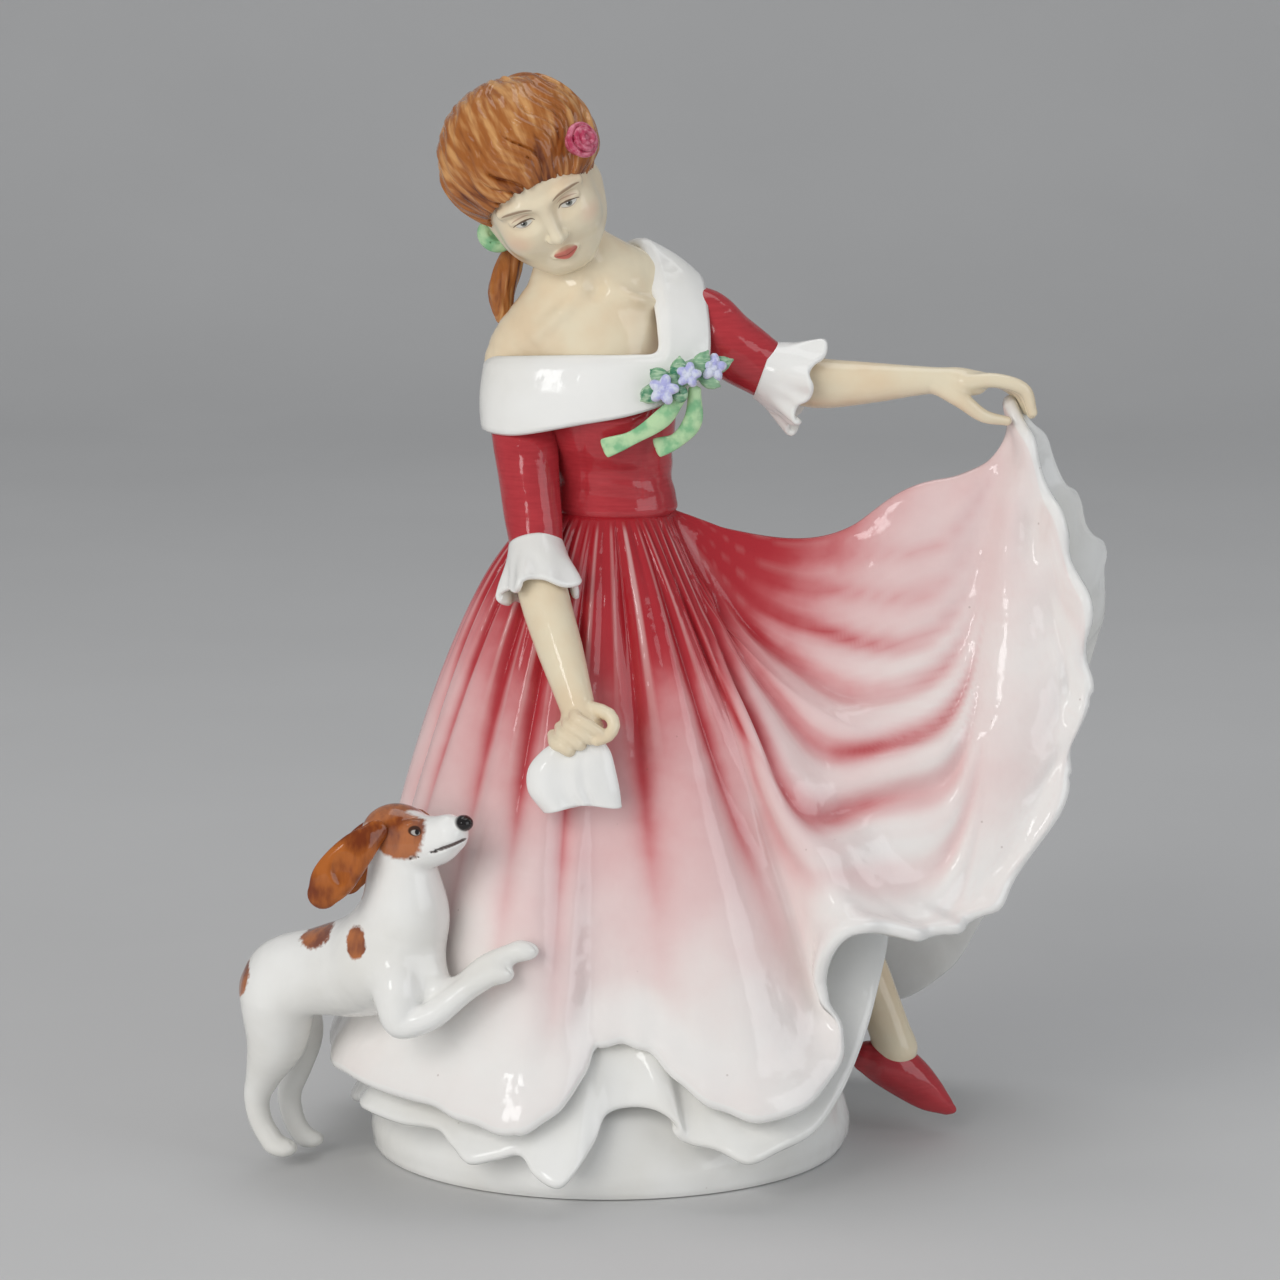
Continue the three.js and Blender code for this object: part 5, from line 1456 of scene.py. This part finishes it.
ribbonTails = (  # piece, node, sections with half width and half depth
    (
        "ribbon_tail_a",
        "ribbon_tail_long",
        [
            (13.6, -16.2, 23.6, 1.3, 0.9), (10.2, -16.1, 19.4, 1.9, 0.6), (4.6, -15.5, 15.6, 1.2, 0.55),
            (-0.4, -15, 13.6, 1.7, 0.5),
        ],
    ),
    (
        "ribbon_tail_b",
        "ribbon_tail_short",
        [
            (16, -15.2, 24.4, 1.3, 0.9), (15.6, -14.6, 18.4, 1.9, 0.6), (12.6, -13.8, 14.8, 1.3, 0.55),
            (9.2, -13.2, 13.4, 1.7, 0.5),
        ],
    ),
)


def buildTail(name, node, stations, rows=40, columns=40):
    rings = limbRings(stations, rows, columns)
    t = np.linspace(0, 1, len(rings))[:, None, None]
    a = roundTurn(columns)[None, :, None]
    skin = closedSkin(rings + gridNormals(rings) * 0.18 * np.cos(2 * a) * np.sin(6 * t))
    makePiece(name, *skin, [ribbonGlaze], [node], "leaf_glaze", place=upperPlace)


buildLeaves()
for flower in posyFlowers:
    buildFlower(*flower)
for tail in ribbonTails:
    buildTail(*tail)

bow = {
    "nearLoop": ((-20.6, 0.8, 51.0), (3.6, 2.0, 3.2)),
    "nearHollow": ((-20.0, -1.0, 51.6), (2.2, 1.0, 1.4)),
    "nearTurn": (0, 25, 0),
    "farLoop": ((-13.6, 6.8, 49.0), (3.2, 2.2, 2.9)),
    "knot": ((-16.9, 3.6, 50.0), (1.9, 1.9, 2.0)),
    "crease": 0.14,
}


def buildBow():
    clay = Clay((-27, -5, 43), (-7, 13, 58), 0.2, 1.2)
    clay.ball(*bow["nearLoop"], 0.4, turn=bow["nearTurn"])
    clay.ball(*bow["nearHollow"], 0.8, True, turn=bow["nearTurn"])
    clay.ball(*bow["farLoop"], 0.4)
    clay.ball(*bow["knot"], 0.5)
    for k in (-1, 0, 1):
        crease = [(-18, 1.4, 50.2 + 0.6 * k), (-20.6, -1.0, 51 + 1.3 * k), (-23.2, 0.4, 51.6 + 1.6 * k)]
        clay.stroke(crease, bow["crease"], 0.2, True)
    clay.fire("hair_ribbon_bow", ribbonGlaze, ["hair_bow"], "leaf_glaze", place=upperPlace)


buildBow()

# lock of hair
hairLock = {
    "spine": [
        (-17.0, 5.6, 48.6, 2.0), (-18.6, 6.2, 44, 2.5), (-19.8, 6.6, 39.6, 2.4), (-19.4, 6.4, 35.2, 1.7),
        (-18.4, 6.2, 32.6, 0.5),
    ],
    "strands": 9,
    "strandReach": (1.4, 2.0, 1.9, 1.2, 0.2),  # from the spine
    "strandRadii": (0.6, 0.75, 0.7, 0.5, 0.25),
    "twist": 0.5,
}


def buildLock():
    clay = Clay((-25, 0, 29), (-12, 13, 54), 0.2, 1.2)
    clay.limb(hairLock["spine"], 0.4, steps=12)
    spine = np.array(hairLock["spine"])[:, :3]
    reach = np.array(hairLock["strandReach"])[:, None]
    for start in roundTurn(hairLock["strands"]):
        turns = start + hairLock["twist"] * np.arange(len(spine))
        ways = np.stack([np.cos(turns), np.sin(turns), np.zeros(len(spine))], -1)
        clay.stroke(spine + reach * ways, hairLock["strandRadii"], 0.2, steps=12)

    def layers(verts):
        x, y, z = verts.T
        return {"lift": 0.5 + 0.5 * np.sin(x * 3.1 + y * 2.7), "across": x * 1.2 + y, "along": z * 0.16}

    clay.fire("hair_lock_curl", hairGlaze, ["hair_lock"], "auburn_glaze", layers, upperPlace)


buildLock()

# rose in the hair
rosePink = (0.42, 0.035, 0.09, 1)
paleRose = (0.66, 0.2, 0.28, 1)
roseGlaze = glazed("raspberry glaze", twoTone(rosePink, paleRose, 0.8, 0.35, 0.65), 0.3)
rose = {
    "middle": (11.0, -8.6, 10.0),
    "facing": (0.66, -0.62, 0.42),
    "heart": 2.6,
    "rings": (  # radius, height, petals, thickness
        (2.5, 0.7, 5, 0.62), (1.7, 1.8, 4, 0.55), (0.9, 2.5, 3, 0.48),
    ),
}


def buildRose():
    middle, facing = np.array(rose["middle"]), unit(np.array(rose["facing"]))
    side, rise = facingAxes(facing)
    clay = Clay(middle - 5, middle + 5, 0.13, 0.8)
    clay.ball(middle, (rose["heart"],) * 3, 0.3)
    cup = np.cos(np.linspace(-1.2, 1.2, 7))[:, None]
    for ring, (radius, height, petals, thick) in enumerate(rose["rings"]):
        for k in range(petals):
            turns = 2 * math.pi / petals * (k + 0.5 * ring + np.linspace(-0.75, 0.75, 7))[:, None]
            ways = side * np.cos(turns) + rise * np.sin(turns)
            petal = middle + facing * (height + 0.4 * cup) + ways * (radius + 0.25 * cup)
            clay.stroke(petal, thick, 0.1, steps=8)
    clay.fire("hair_rose_bloom", roseGlaze, ["hair_rose"], "raspberry_glaze", place=headPlace)


buildRose()

# leg and shoe
leg = {
    "line": [
        (29, 8.4, 52.5, 4.8), (34.5, 8.0, 48.2, 5.4), (41.8, 7.3, 41.4, 5.3), (47.8, 5.8, 34, 4.7),
        (51.6, 4.5, 26.4, 4.0), (53.8, 4, 20.4, 4.0), (54.8, 4, 17, 4.4),
    ],
}
shoe = {
    "upper": [
        (49.8, 4, 15.4, 3.0), (53.6, 4, 14.0, 4.5), (57.4, 4, 11.6, 4.2), (61, 4, 8.8, 3.1),
        (64, 4, 6.2, 1.9), (66, 4, 4.8, 0.9),
    ],
    "sole": [
        (48.8, 4, 14.4, 2.0), (52.6, 4, 11.8, 2.2), (57, 4, 9.0, 2.3), (61, 4, 6.6, 2.0),
        (64.8, 4, 4.6, 0.9),
    ],
}


def buildLeg():
    clay = Clay((16, -4, 8), (64, 18, 66), 0.34)
    clay.limb(leg["line"], 0.5, steps=36)
    clay.fire("bare_leg", skinGlaze, ["leg"], "flesh_glaze")


def buildShoe():
    clay = Clay((41, -3, 0), (71, 11, 22), 0.22, 1.5)
    clay.limb(shoe["upper"], 0.5, steps=36)
    clay.limb(shoe["sole"], 0.8, steps=30)
    clay.soften(3)
    clay.fire("pointed_shoe", crimsonGlaze, ["shoe"], "crimson_glaze")


buildLeg()
buildShoe()

# dog, in its own frame
dog = {
    "place": (-49.5, -27, 40),
    "spots": [  # middle, reach
        ((-18.4, 5.0, -2.0), (3.0, 6, 4.0)),
        ((-4.6, -2.0, 9.4), (4.4, 7, 4.4)),
        ((4.0, -12.0, 9.0), (2.1, 5, 3.4)),
        ((-9.0, 14, 5.0), (4.0, 5, 3.6)),
        ((4.0, 7.5, 7.0), (3.0, 5, 4.0)),
    ],
    "mouth": [
        (13.4, -12.8, 24.8), (15.6, -14.2, 25.7), (19.6, -16.0, 27.4), (21.8, -16.6, 28.3),
        (23.8, -15.6, 29.0),
    ],
    "trunk": [
        (-12.6, 7.4, -4.4, 6.4), (-9.6, 6.1, -2.6, 8.2), (-2, 2.3, -0.2, 8.6), (7.8, -3.8, 4.1, 9.8),
        (12.3, -6.9, 12.2, 8.5), (12.4, -7.3, 18.8, 6.9), (11.8, -7, 23.6, 5.9),
    ],
    "muzzle": [(13, -8, 27.2, 5.0), (18.2, -11.4, 27.8, 4.6), (20.9, -13.2, 29.5, 3.7)],
    "legs": [
        [
            (11, -10.8, 4, 5.4), (11.4, -14.8, 0, 4.4), (12.0, -16.8, -5.0, 2.7),
            (17.6, -17.4, -3.4, 2.5), (24.2, -17.2, 1.6, 2.1), (29.0, -16.4, 4.2, 1.9),
        ],
        [
            (15, -9, 5, 4.6), (18.6, -12.4, 0, 3.5), (22.4, -13.8, 0.4, 2.7), (28, -14.4, 5.4, 2.2),
            (33.4, -14.2, 8.0, 1.9),
        ],
        [
            (-11.6, 3.4, -5.4, 7.0), (-12.0, 4.8, -13.6, 5.7), (-14.6, 7.2, -21, 3.5),
            (-16.2, 8.8, -26.2, 2.5), (-15.6, 9.4, -31, 2.2), (-13.4, 9, -35, 2.2),
        ],
        [
            (-11.4, 12.4, -7, 5.8), (-8.6, 15.2, -15, 4.6), (-9.2, 16.8, -22.4, 2.9),
            (-10.8, 17.6, -28, 2.3), (-10, 17.4, -33, 2.1), (-8.4, 17.2, -36, 2.0),
        ],
    ],
    "paws": [
        ((30.4, -16.1, 4.2), (2.5, 2.1, 1.8)),
        ((34.8, -14.2, 8.0), (2.5, 2.0, 1.8)),
        ((-11.4, 8.6, -36.0), (2.8, 2.3, 1.8)),
        ((-6.8, 16.9, -36.8), (2.6, 2.2, 1.7)),
    ],
    "toes": [  # the cuts between them
        (32.0, -17.0, 4.0), (32.2, -15.6, 4.3), (36.4, -14.9, 7.8), (36.6, -13.6, 8.1),
        (-9.4, 7.9, -36.4), (-9.3, 9.3, -36.4),
    ],
    "nodes": ["dog_body", "dog_head"]
    + ["dog_right_foreleg", "dog_left_foreleg", "dog_right_hind_leg", "dog_left_hind_leg"],
}
dogPlace = Matrix.Translation(Vector(dog["place"]) * mm)
chestnut = (0.18, 0.033, 0.005, 1)
tan = (0.44, 0.125, 0.02, 1)
noseBlack = (0.012, 0.01, 0.01, 1)
eyeRim = (0.03, 0.012, 0.008, 1)
eyeGrey = (0.5, 0.48, 0.45, 1)
mouthBrown = (0.05, 0.02, 0.015, 1)


def furBrown(tree, point):
    cloud = noise(tree, point, 0.16, 2.0)
    hairs = noise(tree, point, 0.7, 2.0, (1.5, 1.0, 0.5))
    tone = calc(tree, "MULTIPLY_ADD", hairs, 0.35, cloud)
    return mixPaint(tree, fade(tree, tone, 0.48, 0.86), chestnut, tan)


def dogPaint(tree, point):
    color = whitePaint(tree, point)
    brown = furBrown(tree, point)

    def spot(middle, reach, edge, ragged, over, strength):
        nonlocal color
        terms = dict(Point=point, Middle=middle, Reach=reach, Edge=edge, Ragged=ragged)
        color = dab(tree, use(tree, spotGroup, **terms)["Mask"], strength, color, over)

    for middle, reach in dog["spots"]:
        spot(middle, reach, 0.2, 0.5, brown, 0.95)
    spot((9.4, -6.8, 32.4), (7.4, 9, 3.8), 0.3, 0.4, brown, 0.95)
    for side in (-1, 1):
        y = -7.4 + side * 5.4
        spot((12.6, y, 29.0), (6.2, 4.0, 4.6), 0.2, 0.3, brown, 0.95)
        spot((15.0, y - 0.4, 30.15), (1.6, 2.6, 1.0), 0.25, 0.0, eyeRim, 0.92)
        spot((15.05, y - 0.4, 29.95), (1.05, 2.6, 0.55), 0.3, 0.0, eyeGrey, 0.9)
        spot((15.3, y - 0.4, 30.05), (0.55, 2.6, 0.6), 0.3, 0.0, noseBlack, 1.0)
    spot((17.2, -9.4, 33.0), (4.6, 1.7, 2.2), 0.35, 0.3, white, 0.95)  # blaze
    spot((24.1, -15.1, 32.1), (2.2, 2.6, 1.7), 0.2, 0.0, noseBlack, 1.0)
    for place in curve(dog["mouth"], np.linspace(0.42, 1, 10)):
        spot(tuple(place), (1.0, 1.4, 0.36), 0.5, 0.0, mouthBrown, 0.8)
    return color


dogGlaze = glazed("spotted dog glaze", dogPaint, 0.25)
earGlaze = glazed("chestnut glaze", furBrown, 0.3)


def buildDog():
    clay = Clay((-25, -24, -42), (39, 23, 37), 0.3)
    clay.limb(dog["trunk"], 0.5, steps=40)
    clay.ball((9.5, -6.5, 4.5), (9.2, 8.2, 8.6), 2.5)  # chest
    clay.ball((-3, 2, -10.6), (7, 6, 2.8), 2.0, True)  # tucked belly
    clay.ball((11.2, -6.6, 28.2), (6.4, 5.8, 5.4), 2.5)  # skull
    clay.limb(dog["muzzle"], 1.6, steps=16)
    for line in dog["legs"]:
        clay.limb(line, 2.0, steps=28)
    for paw in dog["paws"]:
        clay.ball(*paw, 1.0)
    clay.soften(4)
    clay.ball((23.7, -14.8, 31.9), (1.8, 2.0, 1.5), 0.5)  # nose
    for side in (-1, 1):
        y = -7.2 + side * 4.7
        clay.ball((14.9, y, 29.9), (1.5, 1.1, 1.1), 0.5)  # eye
        brow = [(13.0, y - 0.1 * side, 31.1), (15.0, y + 0.15 * side, 31.4), (16.8, y - 0.5 * side, 30.5)]
        clay.stroke(brow, 0.4, 0.6)
    clay.stroke(dog["mouth"], 0.3, 0.3, True, steps=14)
    for x, y, z in dog["toes"]:
        clay.stroke([(x + 0.9, y, z - 1.4), (x + 0.6, y, z), (x - 0.6, y, z + 1.5)], 0.14, 0.3, True)
    clay.fire("leaping_dog", dogGlaze, dog["nodes"], "white_glaze", place=dogPlace)


dogEars = (  # piece, node, line, side of the hollow
    (
        "dog_ear_near",
        "dog_right_ear",
        [(7.8, -12.4, 29.8), (3.8, -14.2, 26.2), (0.2, -14.8, 21.8), (-1.8, -14.8, 18.8)],
        -1,
    ),
    (
        "dog_ear_far",
        "dog_left_ear",
        [(8.6, -1.1, 28.6), (5.4, 0.9, 24.6), (2.8, 1.9, 20.2), (1.6, 2.1, 17.3)],
        1,
    ),
)


def buildEar(name, node, line, side):
    clay = Clay((-8, -20, 11), (14, 8, 36), 0.22, 1.2)
    clay.stroke(line, (2.2, 3.5, 4.0, 2.9), 0.4, steps=24, squash=(1, 2.3, 1))
    hollow = np.mean(line[1:3], axis=0) + (0, side * 1.9, 0)
    clay.ball(hollow, (2.2, 0.9, 3.4), 0.9, True)
    clay.soften(2)
    clay.fire(name, earGlaze, [node], "chestnut_glaze", place=dogPlace)


buildDog()
for ear in dogEars:
    buildEar(*ear)

# floor, light and camera, in metres
studio = {
    "floorTones": ((0.6, 0.6, 0.6, 1), (0.66, 0.66, 0.66, 1)),
    "floorRough": 0.6,
    "floorWidth": 4.4,
    "floorFront": -1.6,
    "floorBack": 0.9,
    "bend": 0.5,
    "wallTop": 2.4,
    "aim": (0.0, 0.0, 0.1),
    "lamps": (  # name, place, size, power, colour, seen in the glaze
        ("key lamp", (-0.7, -0.95, 0.52), (1.2, 1.0), 9.8, (1.0, 0.98, 0.95), False),
        ("small window", (-0.55, -0.95, 0.75), (0.2, 0.28), 0.9, (1.0, 1.0, 1.0), True),
        ("fill lamp", (0.9, -0.6, 0.45), (0.8, 0.8), 3.2, (0.95, 0.97, 1.0), True),
        ("top lamp", (0.1, 0.25, 1.1), (0.9, 0.6), 2.4, (1.0, 1.0, 1.0), True),
    ),
    "sky": (0.85, 0.88, 0.92, 1),
    "skyStrength": 0.29,
    "lens": 137,
    "sensor": 36,
    "cameraPlace": (0.006, -0.8972, 0.2718),
    "cameraTilt": 79,
}
scene = bpy.context.scene


def floorPaint():
    material = bpy.data.materials.new("pale table")
    material.use_nodes = True
    tree = material.node_tree
    body = tree.nodes["Principled BSDF"]
    cloud = noise(tree, addNode(tree, "ShaderNodeTexCoord").outputs["Object"], 9.0, 4.0)
    feed(tree, body.inputs["Base Color"], mixPaint(tree, cloud, *studio["floorTones"]))
    body.inputs["Roughness"].default_value = studio["floorRough"]
    return material


def buildFloor():
    across = np.linspace(-studio["floorWidth"] / 2, studio["floorWidth"] / 2, 45)
    back, bend = studio["floorBack"], studio["bend"]
    turns = np.radians(np.linspace(0, 90, 13))
    profile = [(studio["floorFront"], 0.0), (back, 0.0)]
    profile += [(back + bend * math.sin(a), bend - bend * math.cos(a)) for a in turns[1:]]
    profile += [(back + bend, studio["wallTop"])]
    verts = [(x, y, z) for y, z in profile for x in across]
    mesh = bpy.data.meshes.new("floor_sweep")
    mesh.from_pydata(verts, [], gridFaces(len(profile), len(across), False))
    mesh.polygons.foreach_set("use_smooth", np.ones(len(mesh.polygons), bool))
    mesh.materials.append(floorPaint())
    floor = bpy.data.objects.new("floor_sweep", mesh)
    scene.collection.objects.link(floor)


def addLamp(name, place, size, power, color, mirrored):
    lamp = bpy.data.lights.new(name, "AREA")
    lamp.shape = "RECTANGLE"
    lamp.size, lamp.size_y = size
    lamp.energy = power
    lamp.color = color
    holder = bpy.data.objects.new(name, lamp)
    holder.location = place
    holder.visible_glossy = mirrored
    holder.rotation_euler = (Vector(studio["aim"]) - Vector(place)).to_track_quat("-Z", "Y").to_euler()
    scene.collection.objects.link(holder)


def addCamera():
    data = bpy.data.cameras.new("photo camera")
    data.lens = studio["lens"]
    data.sensor_width = studio["sensor"]
    camera = bpy.data.objects.new("photo camera", data)
    camera.location = studio["cameraPlace"]
    camera.rotation_euler = (math.radians(studio["cameraTilt"]), 0, 0)
    scene.collection.objects.link(camera)
    scene.camera = camera


buildFloor()
for lamp in studio["lamps"]:
    addLamp(*lamp)
scene.world = bpy.data.worlds.new("studio")
scene.world.use_nodes = True
sky = scene.world.node_tree.nodes["Background"]
sky.inputs["Color"].default_value = studio["sky"]
sky.inputs["Strength"].default_value = studio["skyStrength"]
scene.view_settings.view_transform = "Standard"
addCamera()
print("studio set up")
